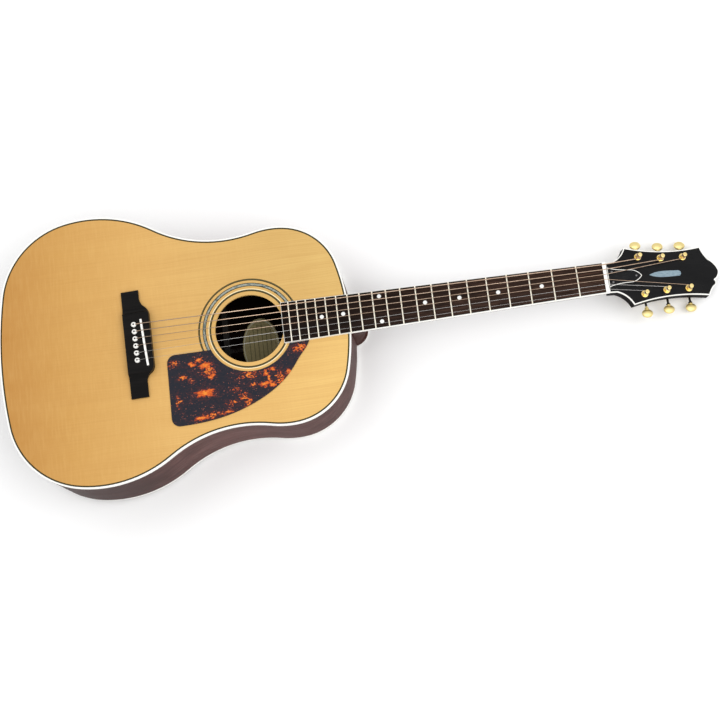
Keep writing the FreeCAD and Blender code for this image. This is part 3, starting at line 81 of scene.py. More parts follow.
def own_box(node):
    """Lowest and highest corner of a CAD node on the guitar's own axes, in millimetres."""
    points = [own(vertex.co) for vertex in nodes[node].data.vertices]
    low = Vector(min(point[axis] for point in points) for axis in range(3))
    high = Vector(max(point[axis] for point in points) for axis in range(3))
    return low, high


ROSETTE_LOW, ROSETTE_HIGH = own_box("rosette")
HOLE = Vector(((ROSETTE_LOW.x + ROSETTE_HIGH.x) / 2, 0, 0))
ROSETTE_RADIUS = (ROSETTE_HIGH.x - ROSETTE_LOW.x) / 2


# ---------------------------------------------------------------- building materials

class Finish:
    """A procedural material, with short ways to add and join its nodes. Coordinates are in millimetres."""

    def __init__(self, name, **sockets):
        self.material = bpy.data.materials.new(name)
        self.material.use_nodes = True
        self.nodes = self.material.node_tree.nodes
        self.links = self.material.node_tree.links
        self.shader = self.nodes["Principled BSDF"]
        for socket, value in sockets.items():
            self.shader.inputs[socket.replace("_", " ")].default_value = value
        coordinates = self.nodes.new("ShaderNodeTexCoord")
        rotation = AXES_BACK.to_euler()
        location = AXES_BACK.to_translation() / MM
        self.own = self.add("Mapping", Vector=coordinates.outputs["Object"], Location=location,
                            Rotation=rotation, Scale=(1 / MM,) * 3).outputs[0]

    def add(self, kind, settings=None, **inputs):
        """New node; an input is a socket to join or a value to set."""
        node = self.nodes.new("ShaderNode" + kind)
        for name, value in (settings or {}).items():
            setattr(node, name, value)
        for name, value in inputs.items():
            self.join(value, node.inputs[name.replace("_", " ")])
        return node

    def join(self, value, socket):
        if isinstance(value, bpy.types.NodeSocket):
            self.links.new(value, socket)
        else:
            socket.default_value = value

    def math(self, operation, *values):
        node = self.nodes.new("ShaderNodeMath")
        node.operation = operation
        for value, socket in zip(values, node.inputs):
            self.join(value, socket)
        return node.outputs[0]

    def axis(self, letter, vector=None):
        """One coordinate of a vector."""
        return self.add("SeparateXYZ", Vector=vector or self.own).outputs[letter]

    def upward(self):
        """How far a face looks up, from -1 to 1."""
        return self.axis("Z", self.add("NewGeometry").outputs["Normal"])

    def scaled(self, x, y, z, vector=None):
        """The coordinates stretched along each axis."""
        return self.vector_math("MULTIPLY", vector or self.own, (x, y, z))

    def combined(self, x, y, z):
        return self.add("CombineXYZ", X=x, Y=y, Z=z).outputs[0]

    def noise(self, vector, detail=3.0, roughness=0.55, distortion=0.0):
        """Cloudy value from 0 to 1, one cloud to each unit of the vector."""
        return self.add("TexNoise", Vector=vector, Scale=1.0, Detail=detail, Roughness=roughness,
                        Distortion=distortion).outputs["Fac"]

    def vector_math(self, operation, first, second, output="Vector"):
        node = self.nodes.new("ShaderNodeVectorMath")
        node.operation = operation
        self.join(first, node.inputs[0])
        self.join(second, node.inputs[1])
        return node.outputs[output]

    def between(self, value, low, high):
        """1 where a value lies between two limits, 0 elsewhere."""
        return self.math("MULTIPLY", self.math("GREATER_THAN", value, low),
                         self.math("LESS_THAN", value, high))

    def nearness(self, spots, vector=None):
        """Distance to the nearest of several flat spots (x, y, half length, half width), 1 at its rim."""
        nearest_spot = None
        for x, y, half_length, half_width in spots:
            offset = self.vector_math("SUBTRACT", vector or self.own, (x, y, 0))
            shares = self.vector_math("MULTIPLY", offset, (1 / half_length, 1 / half_width, 0))
            reach = self.vector_math("LENGTH", shares, (0, 0, 0), "Value")
            nearest_spot = self.math("MINIMUM", nearest_spot, reach) if nearest_spot else reach
        return nearest_spot

    def spread(self, value, low, high, to_low=0.0, to_high=1.0):
        """Value stretched from one range to another and held at its ends."""
        return self.add("MapRange", Value=value, From_Min=low, From_Max=high, To_Min=to_low,
                        To_Max=to_high).outputs[0]

    def ramp(self, value, stops, interpolation="LINEAR"):
        """Colour from (position, colour) stops."""
        node = self.nodes.new("ShaderNodeValToRGB")
        node.color_ramp.interpolation = interpolation
        elements = node.color_ramp.elements
        while len(elements) < len(stops):
            elements.new(1.0)
        for element, (position, colour) in zip(elements, stops):
            element.position = position
            element.color = (*colour, 1)
        self.join(value, node.inputs[0])
        return node.outputs["Color"]

    def mix(self, factor, first, second, blend="MIX"):
        node = self.nodes.new("ShaderNodeMix")
        node.data_type = "RGBA"
        node.blend_type = blend
        for value, index in ((factor, 0), (first, 6), (second, 7)):
            if isinstance(value, tuple) and len(value) == 3:
                value = (*value, 1)
            self.join(value, node.inputs[index])
        return node.outputs[2]

    def colour(self, value):
        self.join(value, self.shader.inputs["Base Color"])
        return self

    def colour_so_far(self):
        return self.shader.inputs["Base Color"].links[0].from_socket

    def toned(self, low, high, tones):
        """Multiply the colour by greys that change between two places along x."""
        share = self.spread(self.axis("X"), low, high)
        greys = self.ramp(share, [(position, (tone,) * 3) for position, tone in tones])
        return self.colour(self.mix(1.0, self.colour_so_far(), greys, "MULTIPLY"))

    def rough(self, value):
        self.join(value, self.shader.inputs["Roughness"])
        return self

    def bump(self, height, depth, strength=1.0):
        """Relief of a height from 0 to 1, depth in millimetres; several reliefs add up."""
        normal = self.shader.inputs["Normal"]
        node = self.add("Bump", Height=height, Distance=depth * MM, Strength=strength)
        if normal.is_linked:
            self.links.new(normal.links[0].from_socket, node.inputs["Normal"])
        self.links.new(node.outputs[0], normal)
        return self


def shade(tone, share):
    """Tone made darker or lighter by a share."""
    return tuple(min(1.0, level * share) for level in tone)


def grained(finish, along, across, depth, wander):
    """Long streaks along x whose lines wander slowly, mirrored about the centre line."""
    spread = finish.math("ABSOLUTE", finish.axis("Y"))
    drift = finish.math("MULTIPLY", finish.noise(finish.scaled(0.004, 0.02, 0.02), 2.0), wander)
    lines = finish.math("ADD", spread, drift)
    return finish.combined(finish.math("MULTIPLY", finish.axis("X"), along),
                           finish.math("MULTIPLY", lines, across),
                           finish.math("MULTIPLY", finish.axis("Z"), depth))


# ---------------------------------------------------------------- woods

# colours of the inlaid fibre lines
DARK_LINE = (0.014, 0.012, 0.006)
OLIVE_LINE = (0.120, 0.104, 0.046)
# where each of the rosette's rings starts, as a radius, and how wide it is
INNER_RING = (55.0, 2.6)
SHELL_RING = (62.5, 5.0)
OUTER_RING = (71.2, 2.6)
# width of the painted highlight line round the inner ring
HIGHLIGHT_LINE_WIDTH = 1.3
# from the tail to the shoulder, along x
TOP_SPAN = (-862.0, -380.0)
SIDE_SPAN = (-860.0, -380.0)


def ring_distance(finish):
    """Distance from the middle of the soundhole over the rosette's outer radius."""
    distance = finish.vector_math("DISTANCE", finish.scaled(1, 1, 0), (HOLE.x, 0, 0), "Value")
    return finish.math("DIVIDE", distance, ROSETTE_RADIUS)


def spruce_top():
    """Amber quartersawn spruce with painted shade towards the tail and on the upper bout's bass side, and a
    painted highlight line round the inner ring.
    """
    finish = Finish("spruce_top", Coat_Weight=0.12, Coat_Roughness=0.25, Specular_IOR_Level=0.15)
    grain = finish.noise(grained(finish, 0.006, 0.75, 0.1, 16), 4.0, 0.6)
    fine = finish.noise(grained(finish, 0.02, 2.6, 0.1, 16), 3.0, 0.7)
    bands = finish.noise(grained(finish, 0.002, 0.045, 0.02, 20), 3.0, 0.5)
    silk = finish.noise(finish.scaled(0.35, 0.03, 0.1), 3.0, 0.6)
    mottle = finish.noise(finish.scaled(0.02, 0.02, 0.02), 3.0, 0.5)
    # painted shade: the top's colour darkens from the shoulder towards the tail
    painted_tail_shade = finish.ramp(finish.spread(finish.axis("X"), *TOP_SPAN),
                       [(0.0, (0.450, 0.205, 0.040)), (0.2, (0.560, 0.300, 0.078)),
                        (0.5, (0.680, 0.410, 0.132)), (1.0, (0.770, 0.505, 0.172))])
    deeper = finish.mix(finish.spread(bands, 0.35, 0.7, 0.0, 0.28), painted_tail_shade, (0.56, 0.30, 0.085))
    dark_lines = finish.mix(finish.spread(grain, 0.42, 0.62, 0.0, 0.22), deeper, (0.46, 0.225, 0.055))
    thin_lines = finish.mix(finish.spread(fine, 0.5, 0.75, 0.0, 0.16), dark_lines, (0.42, 0.20, 0.05))
    silky = finish.mix(finish.spread(silk, 0.45, 0.8, 0.0, 0.15), thin_lines, (0.80, 0.54, 0.20))
    mottled = finish.mix(finish.spread(mottle, 0.4, 0.7, 0.0, 0.18), silky, (0.60, 0.34, 0.10))
    # painted shade: the bass side of the upper bout is made darker
    bass_shade_mask = finish.math("MULTIPLY", finish.spread(finish.axis("Y"), -60.0, 50.0),
                            finish.spread(finish.axis("X"), -660.0, -460.0))
    shaded = finish.mix(bass_shade_mask, mottled, (0.87, 0.88, 0.88), "MULTIPLY")
    # painted highlight: a cream line on the wood just outside the inner ring
    ring_end = sum(INNER_RING)
    highlight_line = finish.between(ring_distance(finish), ring_end / ROSETTE_RADIUS,
                               (ring_end + HIGHLIGHT_LINE_WIDTH) / ROSETTE_RADIUS)
    finish.colour(finish.mix(highlight_line, shaded, (0.86, 0.72, 0.44)))
    finish.rough(finish.spread(fine, 0.3, 0.7, 0.34, 0.44))
    return finish.bump(fine, 0.02, 0.3).bump(grain, 0.03, 0.25)


def dark_wood(name, tones, roughness, pores=0.5, gloss=(0.0, 0.3), streak=(0.012, 0.22, 0.22)):
    """Rosewood-like timber with dark streaks, warm bands and short open pores along x.

    Tones run from dark to light; pores is how dark the pores are; gloss is the coat's weight and the
    wood's own specular level; streak is the streaks' fineness along each axis.
    """
    low, middle, high = tones
    finish = Finish(name, Coat_Weight=gloss[0], Coat_Roughness=0.1, Specular_IOR_Level=gloss[1])
    streaks = finish.noise(finish.scaled(*streak), 5.0, 0.6, 1.2)
    broad = finish.noise(finish.scaled(0.004, 0.035, 0.035), 3.0, 0.5, 1.0)
    pore = finish.noise(finish.scaled(0.11, 1.9, 1.9), 2.0, 0.5)
    timber = finish.ramp(streaks, [(0.32, low), (0.5, middle), (0.68, high)])
    banded = finish.mix(finish.spread(broad, 0.35, 0.7, 0.0, 0.5), timber, shade(low, 0.6))
    finish.colour(finish.mix(finish.spread(pore, 0.6, 0.72, 0.0, pores), banded, shade(low, 0.3)))
    finish.rough(finish.spread(streaks, 0.3, 0.7, roughness - 0.05, roughness + 0.07))
    return finish.bump(finish.spread(pore, 0.58, 0.72, 1.0, 0.0), 0.05, 0.3)


def rosewood_sides():
    """Lacquered reddish rosewood whose streaks run round the body, with painted shade round the lower bout and
    a painted highlight at the waist.
    """
    tones = (0.062, 0.027, 0.024), (0.104, 0.050, 0.046), (0.156, 0.084, 0.078)
    finish = dark_wood("rosewood_sides", tones, 0.42, 0.3, (0.0, 0.025), (0.012, 0.012, 0.28))
    # painted shade darkens the sides round the lower bout and a painted highlight brightens them at the waist
    return finish.toned(*SIDE_SPAN, [(0.0, 0.45), (0.35, 0.7), (0.62, 1.35), (1.0, 0.95)])


def rosewood_back():
    """Book-matched rosewood with wavy streaks: gloss outside; inside the box dull and painted nearly black as
    shade.
    """
    finish = Finish("rosewood_back", Coat_Roughness=0.08)
    figure = finish.noise(grained(finish, 0.006, 0.10, 0.02, 60), 5.0, 0.6, 1.5)
    lines = finish.noise(grained(finish, 0.012, 0.55, 0.05, 60), 4.0, 0.6)
    pore = finish.noise(finish.scaled(0.1, 1.7, 0.5), 2.0, 0.5)
    figured = finish.ramp(figure, [(0.3, (0.035, 0.012, 0.010)), (0.48, (0.095, 0.036, 0.024)),
                                   (0.6, (0.150, 0.064, 0.040)), (0.75, (0.070, 0.026, 0.020))])
    streaked = finish.mix(finish.spread(lines, 0.5, 0.7, 0.0, 0.6), figured, (0.030, 0.011, 0.009))
    timber = finish.mix(finish.spread(pore, 0.62, 0.72, 0.0, 0.45), streaked, (0.012, 0.005, 0.004))
    inside = finish.spread(finish.upward(), 0.2, 0.5)
    finish.join(finish.spread(inside, 0.0, 1.0, 0.4, 0.0), finish.shader.inputs["Coat Weight"])
    finish.join(finish.spread(inside, 0.0, 1.0, 0.2, 0.0), finish.shader.inputs["Specular IOR Level"])
    # painted shade: faces looking into the box are made nearly black
    finish.colour(finish.mix(inside, timber, finish.mix(0.93, timber, (0.0012, 0.0010, 0.0012))))
    finish.rough(finish.spread(lines, 0.3, 0.7, 0.22, 0.32))
    return finish.bump(lines, 0.02, 0.2)


def rosewood_board():
    """Dry-oiled dark rosewood of the fretboard, open pored, its far end darkest."""
    tones = (0.010, 0.0055, 0.004), (0.020, 0.011, 0.008), (0.046, 0.023, 0.016)
    finish = dark_wood("rosewood_board", tones, 0.48, 0.75, (0.0, 0.05), (0.02, 0.55, 0.55))
    return finish.toned(-480.0, -160.0, [(0.0, 0.35), (0.4, 0.7), (1.0, 1.7)])


def dark_wood_strip():
    tones = (0.030, 0.012, 0.009), (0.060, 0.024, 0.018), (0.090, 0.038, 0.028)
    return dark_wood("dark_wood_strip", tones, 0.3, 0.4, (0.15, 0.2))


def ebony():
    """Near-black ebony, evenly oiled, with faint brown streaks."""
    tones = (0.0030, 0.0026, 0.0025), (0.0045, 0.0040, 0.0038), (0.0080, 0.0066, 0.0060)
    return dark_wood("ebony", tones, 0.30, 0.4, (0.0, 0.09), (0.02, 0.5, 0.5))


def mahogany(name, tint, roughness, specular):
    """Red-brown mahogany with short dark pores and soft ribbon bands."""
    finish = Finish(name, Specular_IOR_Level=specular)
    ribbon = finish.noise(finish.scaled(0.01, 0.12, 0.12), 4.0, 0.55, 0.8)
    pore = finish.noise(finish.scaled(0.16, 2.2, 2.2), 2.0, 0.5)
    timber = finish.ramp(ribbon, [(0.34, shade(tint, 0.72)), (0.52, tint), (0.7, shade(tint, 1.3))])
    finish.colour(finish.mix(finish.spread(pore, 0.57, 0.7, 0.0, 0.7), timber, shade(tint, 0.3)))
    finish.rough(finish.spread(pore, 0.4, 0.7, roughness, roughness + 0.1))
    return finish.bump(finish.spread(pore, 0.57, 0.7, 1.0, 0.0), 0.04, 0.25)


def mahogany_neck():
    """Stained neck wood that turns to black lacquer at the nut."""
    finish = mahogany("mahogany_neck", (0.058, 0.018, 0.013), 0.4, 0.02)
    black = finish.spread(finish.axis("X"), -3.0, 2.0)
    return finish.colour(finish.mix(black, finish.colour_so_far(), (0.008, 0.007, 0.007)))


def mahogany_inner():
    return mahogany("mahogany_inner", (0.10, 0.045, 0.028), 0.6, 0.2)


def spruce_brace():
    """Spruce of the braces, painted nearly black as shade inside the box."""
    finish = Finish("spruce_brace", Specular_IOR_Level=0.3)
    lines = finish.noise(finish.scaled(0.05, 0.05, 1.4), 4.0, 0.6)
    mottle = finish.noise(finish.scaled(0.03, 0.03, 0.03), 2.0)
    # painted shade: the braces' wood is made nearly black, as they sit in the shade inside the box
    wood = finish.ramp(lines, [(0.35, (0.020, 0.016, 0.013)), (0.6, (0.013, 0.010, 0.008))])
    finish.colour(finish.mix(finish.spread(mottle, 0.35, 0.7, 0.0, 0.4), wood, (0.010, 0.008, 0.006)))
    finish.rough(finish.spread(lines, 0.3, 0.7, 0.55, 0.7))
    return finish.bump(lines, 0.05, 0.3)


# ---------------------------------------------------------------- inlays, bindings and small plastics

def rosette_inlay():
    """Dark lines with an olive core inside and outside, and a grey-green shell band in the middle."""
    finish = Finish("rosette_inlay", Specular_IOR_Level=0.05)
    distance = ring_distance(finish)
    angle = finish.math("ARCTAN2", finish.axis("Y"), finish.math("SUBTRACT", finish.axis("X"), HOLE.x))
    around = finish.math("MULTIPLY", angle, ROSETTE_RADIUS)
    tiles = finish.combined(finish.math("MULTIPLY", around, 0.12),
                            finish.math("MULTIPLY", distance, 55.0), 0.0)
    sheen = finish.noise(tiles, 3.0, 0.6, 0.8)
    shell = finish.ramp(sheen, [(0.25, (0.030, 0.042, 0.040)), (0.42, (0.110, 0.140, 0.125)),
                                (0.52, (0.400, 0.410, 0.350)), (0.62, (0.140, 0.170, 0.155)),
                                (0.78, (0.400, 0.380, 0.320))])
    core, edge = 0.85, 0.95
    steps = [(0.0, DARK_LINE)]
    for start, width in (INNER_RING, OUTER_RING):
        steps += [(start + core, OLIVE_LINE), (start + width - core, DARK_LINE)]
    steps = [(radius / ROSETTE_RADIUS, tone) for radius, tone in steps]
    lines = finish.ramp(distance, steps, "CONSTANT")
    start, width = SHELL_RING
    in_band = finish.between(distance, (start + edge) / ROSETTE_RADIUS,
                             (start + width - edge) / ROSETTE_RADIUS)
    finish.colour(finish.mix(in_band, lines, shell))
    finish.rough(finish.spread(sheen, 0.3, 0.7, 0.24, 0.38))
    return finish.bump(sheen, 0.01, 0.2)


# middle and half sizes of the guard's brightest patches, in millimetres: solid ones and broken ones
SOLID_FLAMES = (
    (-574, -85, 14, 6.0), (-570, -46, 8, 5.0), (-590, -41, 6, 2.6), (-580, -36, 7, 2.6), (-562, -62, 4, 4.0),
    (-583, -121, 11, 2.4), (-543, -115.5, 7, 2.0), (-489, -84, 7, 3.2), (-482, -76, 3.5, 8.0),
    (-478, -86, 5, 4.0), (-486, -67, 2.5, 5.0), (-475, -63, 6, 2.0), (-453, -71, 3.5, 4.5),
)
BROKEN_FLAMES = (
    (-511, -68, 15, 5.0), (-529, -86, 5, 4.0), (-520, -97, 6, 5.0), (-514, -108, 6, 7.0), (-606, -60, 5, 3.5),
    (-592, -66, 4, 3.0), (-617, -38, 6, 4.0), (-504, -82, 5, 3.0), (-433, -38, 10, 6.0), (-568, -52, 9, 10.0),
    (-566, -118, 14, 4.0), (-613, -93, 3, 9.0), (-536, -104, 8, 4.0), (-466, -78, 8, 10.0),
)


def tortoiseshell():
    """Blue-grey sheet with maroon clouds, torn orange patches and many small flecks."""
    finish = Finish("tortoiseshell", Specular_IOR_Level=0.05)
    wander = finish.add("TexNoise", Vector=finish.scaled(0.11, 0.18, 0.2), Scale=1.0, Detail=5.0,
                        Roughness=0.68).outputs["Color"]
    centered = finish.vector_math("SUBTRACT", wander, (0.5, 0.5, 0.5))
    push = finish.vector_math("MULTIPLY", centered, (26, 14, 0))
    torn_place = finish.vector_math("ADD", finish.own, push)
    ragged = finish.noise(finish.scaled(0.24, 0.46, 0.3), 5.0, 0.7, 0.5)
    crumbs = finish.noise(finish.scaled(0.38, 0.62, 0.5), 2.0, 0.5)
    clouds = finish.noise(finish.scaled(0.03, 0.055, 0.05), 3.0, 0.6)
    solid = finish.math("ADD", finish.nearness(SOLID_FLAMES, torn_place),
                        finish.spread(ragged, 0.35, 0.65, 0.3, -0.3))
    broken = finish.math("ADD", finish.nearness(BROKEN_FLAMES, torn_place),
                         finish.spread(crumbs, 0.42, 0.62, 0.9, -0.25))
    reach = finish.math("MINIMUM", solid, broken)
    near_flame = finish.spread(finish.math("MINIMUM", finish.nearness(SOLID_FLAMES),
                                           finish.nearness(BROKEN_FLAMES)), 0.8, 2.4, 1.0, 0.0)
    body = finish.mix(finish.spread(ragged, 0.36, 0.66), (0.019, 0.022, 0.031), (0.028, 0.025, 0.032))
    maroon = finish.math("MAXIMUM", finish.spread(clouds, 0.5, 0.7, 0.0, 0.5),
                         finish.math("MULTIPLY", near_flame, 0.65))
    clouded = finish.mix(finish.math("MULTIPLY", maroon, finish.spread(ragged, 0.46, 0.6)), body,
                         (0.120, 0.028, 0.024))
    flame = finish.ramp(reach, [(0.15, (0.76, 0.25, 0.040)), (0.5, (0.68, 0.135, 0.024)),
                                (0.95, (0.34, 0.050, 0.022))])
    flamed = finish.mix(finish.spread(reach, 1.04, 0.92), clouded, flame)
    speck = finish.math("MULTIPLY", finish.spread(crumbs, 0.67, 0.70, 0.0, 0.9),
                        finish.spread(clouds, 0.38, 0.5, 0.2, 1.0))
    finish.colour(finish.mix(speck, flamed, (0.44, 0.130, 0.080)))
    finish.rough(finish.spread(ragged, 0.3, 0.7, 0.22, 0.3))
    return finish.bump(clouds, 0.02, 0.1)


def ivory_plastic(name="ivory_plastic"):
    """Slightly warm white binding with faint ageing."""
    finish = Finish(name, Coat_Weight=0.1, Coat_Roughness=0.15, Specular_IOR_Level=0.3)
    ageing = finish.noise(finish.scaled(0.03, 0.05, 0.05), 3.0)
    layers = finish.noise(finish.scaled(0.02, 0.5, 2.5), 3.0)
    tone = finish.ramp(ageing, [(0.3, (0.86, 0.85, 0.80)), (0.7, (0.93, 0.925, 0.89))])
    finish.colour(finish.mix(finish.spread(layers, 0.5, 0.8, 0.0, 0.18), tone, (0.78, 0.74, 0.63)))
    finish.rough(finish.spread(ageing, 0.3, 0.7, 0.26, 0.36))
    return finish.bump(layers, 0.01, 0.2)


def board_edging():
    """Ivory edging of the fretboard whose top shows a dark line inside a thin ivory one."""
    ivory_width = 0.4
    finish = ivory_plastic("board_edging")
    low, high = own_box("fretboard_binding")
    points = (own(vertex.co) for vertex in nodes["fretboard_binding"].data.vertices)
    nut_half = max(abs(point.y) for point in points if point.x > high.x - 1)
    half_width = finish.spread(finish.axis("X"), low.x, high.x, high.y, nut_half)
    from_side = finish.math("SUBTRACT", half_width, finish.math("ABSOLUTE", finish.axis("Y")))
    from_end = finish.math("SUBTRACT", finish.axis("X"), low.x)
    on_top = finish.math("GREATER_THAN", finish.upward(), 0.7)
    inside = finish.spread(finish.math("MINIMUM", from_side, from_end), ivory_width, ivory_width + 0.1)
    dark = finish.math("MULTIPLY", on_top, inside)
    return finish.colour(finish.mix(dark, finish.colour_so_far(), DARK_LINE))


def line_finish(name, tone):
    """Fibre line of the purfling, with a faint weave."""
    finish = Finish(name, Specular_IOR_Level=0.04)
    fibre = finish.noise(finish.scaled(0.4, 0.9, 0.9), 3.0, 0.6)
    finish.colour(finish.ramp(fibre, [(0.3, shade(tone, 0.75)), (0.7, tone)]))
    finish.rough(finish.spread(fibre, 0.3, 0.7, 0.35, 0.48))
    return finish


def purfling_lines():
    return line_finish("purfling_lines", DARK_LINE)


def marquetry_strip():
    """Centre strip of the back: small slanted blocks between two dark lines, its faces inside the box dark as
    painted shade.
    """
    finish = Finish("marquetry_strip", Coat_Weight=0.8, Coat_Roughness=0.05)
    across = finish.math("ABSOLUTE", finish.axis("Y"))
    slant = finish.math("ADD", finish.axis("X"), finish.math("MULTIPLY", across, 1.2))
    block = finish.math("FRACT", finish.math("DIVIDE", slant, 4.0))
    grain = finish.noise(finish.scaled(0.3, 2.0, 1.0), 3.0)
    light = finish.ramp(grain, [(0.3, (0.50, 0.30, 0.13)), (0.7, (0.66, 0.44, 0.21))])
    dark = finish.ramp(grain, [(0.3, (0.06, 0.025, 0.015)), (0.7, (0.13, 0.055, 0.03))])
    blocks = finish.mix(finish.math("GREATER_THAN", block, 0.5), light, dark)
    # the two dark lines are the strip's own; faces looking into the box are made dark as painted shade
    dark_lines_and_shade = finish.math("MAXIMUM", finish.math("GREATER_THAN", across, 2.3),
                            finish.math("GREATER_THAN", finish.upward(), 0.2))
    finish.colour(finish.mix(dark_lines_and_shade, blocks, (0.015, 0.01, 0.009)))
    finish.rough(finish.spread(grain, 0.3, 0.7, 0.2, 0.3))
    return finish.bump(grain, 0.01, 0.2)


def paper_label():
    """Blank aged paper, toned darker as painted shade inside the box, with ruled lines and a pale border line
    inside its oval edge.
    """
    finish = Finish("paper_label", Specular_IOR_Level=0.2)
    low, high = own_box("label")
    middle, half = (low + high) / 2, (high - low) / 2
    offset = [finish.math("DIVIDE", finish.math("SUBTRACT", finish.axis(letter), middle[index]), half[index])
              for index, letter in enumerate("XY")]
    reach = finish.math("SQRT", finish.math("ADD", finish.math("POWER", offset[0], 2.0),
                                            finish.math("POWER", offset[1], 2.0)))
    fibre = finish.noise(finish.scaled(0.5, 0.5, 0.5), 4.0, 0.6)
    stain = finish.noise(finish.scaled(0.04, 0.03, 0.04), 3.0)
    # the paper's tone is partly its age and partly painted shade from inside the box
    paper = finish.ramp(stain, [(0.3, (0.420, 0.350, 0.170)), (0.7, (0.520, 0.440, 0.220))])
    speckled = finish.mix(finish.spread(fibre, 0.45, 0.7, 0.0, 0.35), paper, (0.170, 0.145, 0.080))
    border = finish.between(reach, 0.905, 0.955)
    row = finish.math("FRACT", finish.math("DIVIDE", finish.axis("X"), 6.5))
    ruled = finish.math("MULTIPLY", finish.math("LESS_THAN", row, 0.16), finish.math("LESS_THAN", reach, 0.8))
    lined = finish.mix(finish.math("MULTIPLY", ruled, 0.7), speckled, (0.090, 0.078, 0.045))
    finish.colour(finish.mix(border, lined, (0.70, 0.66, 0.48)))
    finish.rough(finish.spread(fibre, 0.3, 0.7, 0.7, 0.85))
    return finish.bump(fibre, 0.04, 0.3)


def bone():
    """Polished bone with faint pores and yellowing."""
    finish = Finish("bone", Subsurface_Weight=0.05)
    finish.shader.inputs["Subsurface Radius"].default_value = (0.002, 0.0015, 0.001)
    pores = finish.noise(finish.scaled(0.6, 1.6, 3.0), 3.0, 0.6)
    cloud = finish.noise(finish.scaled(0.15, 0.1, 0.15), 2.0)
    tone = finish.ramp(cloud, [(0.3, (0.90, 0.88, 0.83)), (0.7, (0.96, 0.95, 0.92))])
    finish.colour(finish.mix(finish.spread(pores, 0.6, 0.75, 0.0, 0.25), tone, (0.76, 0.70, 0.58)))
    finish.rough(finish.spread(pores, 0.3, 0.7, 0.28, 0.4))
    return finish.bump(pores, 0.02, 0.25)


def pin_tops():
    """Middles of the bridge pins' flat tops and their height, on the guitar's own axes in millimetres."""
    gap_between_pins = 5
    points = [own(vertex.co) for vertex in nodes["bridge_pins"].data.vertices]
    summit = max(point.z for point in points)
    rims = [[]]
    for point in sorted((point for point in points if point.z > summit - 0.01), key=lambda point: point.y):
        if rims[-1] and point.y - rims[-1][-1].y > gap_between_pins:
            rims.append([])
        rims[-1].append(point)
    return [((min(p.x for p in rim) + max(p.x for p in rim)) / 2,
             (min(p.y for p in rim) + max(p.y for p in rim)) / 2) for rim in rims], summit


def white_pin():
    """Ivory-white pins, each with a dark dot let into its top."""
    finish = Finish("white_pin", Coat_Weight=0.1, Specular_IOR_Level=0.3)
    cloud = finish.noise(finish.scaled(0.3, 0.3, 0.3), 3.0)
    ivory = finish.ramp(cloud, [(0.3, (0.82, 0.81, 0.77)), (0.7, (0.92, 0.91, 0.88))])
    tops, summit = pin_tops()
    dot = 1.35
    reach = finish.nearness([(x, y, dot, dot) for x, y in tops])
    on_dot = finish.math("MULTIPLY", finish.spread(reach, 1.05, 0.95),
                         finish.math("GREATER_THAN", finish.axis("Z"), summit - 0.4))
    finish.colour(finish.mix(on_dot, ivory, (0.006, 0.006, 0.006)))
    finish.rough(finish.spread(cloud, 0.3, 0.7, 0.25, 0.35))
    return finish.bump(cloud, 0.02, 0.15)


def shell(name, sheet_tones, bright, bright_share):
    """Mother of pearl: sheets of several tones that curl along the inlay."""
    finish = Finish(name, Coat_Weight=0.15, Coat_Roughness=0.08, Specular_IOR_Level=0.4)
    curl = finish.noise(finish.scaled(0.05, 0.45, 0.3), 4.0, 0.6, 2.2)
    fine = finish.noise(finish.scaled(0.12, 1.3, 0.8), 4.0, 0.6, 1.5)
    sheet = finish.ramp(curl, list(zip((0.28, 0.42, 0.52, 0.60, 0.74), sheet_tones)))
    finish.colour(finish.mix(finish.spread(fine, 0.45, 0.7, 0.0, bright_share), sheet, bright))
    finish.rough(finish.spread(curl, 0.3, 0.7, 0.16, 0.3))
    return finish.bump(fine, 0.01, 0.25)


def pearl():
    """Nearly white shell of the position dots."""
    return shell("pearl", ((0.66, 0.68, 0.68), (0.78, 0.80, 0.79), (0.86, 0.86, 0.84), (0.76, 0.79, 0.79),
                           (0.80, 0.76, 0.77)), (0.92, 0.92, 0.90), 0.5)


def blue_pearl():
    """Grey-blue shell of the headstock's inlay."""
    return shell("blue_pearl", ((0.055, 0.095, 0.150), (0.120, 0.190, 0.250), (0.240, 0.330, 0.380),
                                (0.140, 0.230, 0.290), (0.260, 0.270, 0.330)), (0.42, 0.50, 0.54), 0.4)


def black_lacquer():
    """Black lacquer with a trace of orange peel."""
    finish = Finish("black_lacquer", Coat_Weight=0.05, Coat_Roughness=0.1, Specular_IOR_Level=0.1)
    peel = finish.noise(finish.scaled(0.35, 0.35, 0.35), 2.0)
    haze = finish.noise(finish.scaled(0.02, 0.04, 0.02), 3.0)
    finish.colour(finish.ramp(haze, [(0.3, (0.0045, 0.0045, 0.0050)), (0.7, (0.0080, 0.0080, 0.0085))]))
    finish.rough(finish.spread(haze, 0.3, 0.7, 0.22, 0.32))
    return finish.bump(peel, 0.01, 0.1)


def cover_plastic():
    finish = Finish("cover_plastic", Specular_IOR_Level=0.12)
    haze = finish.noise(finish.scaled(0.05, 0.1, 0.1), 3.0)
    scuff = finish.noise(finish.scaled(0.2, 2.4, 0.5), 3.0)
    finish.colour(finish.ramp(haze, [(0.3, (0.006, 0.006, 0.007)), (0.7, (0.011, 0.011, 0.012))]))
    finish.rough(finish.spread(scuff, 0.4, 0.75, 0.22, 0.36))
    return finish.bump(scuff, 0.01, 0.12)


# ---------------------------------------------------------------- metals

BUTTON_LENGTH = 12.5
TUNERS_BY_SIDE = {-1: (1, 2, 3), 1: (4, 5, 6)}
# painted shade and highlight along the strings from the bridge to the headstock: darker over the top before the
# soundhole, lighter over it
STRING_SPAN = (-700.0, 60.0)
STRING_LIGHT_AND_SHADE = ((0.04, 1.0), (0.06, 0.52), (0.19, 0.52), (0.22, 1.25), (0.33, 1.25), (0.37, 0.8), (1.0, 0.75))


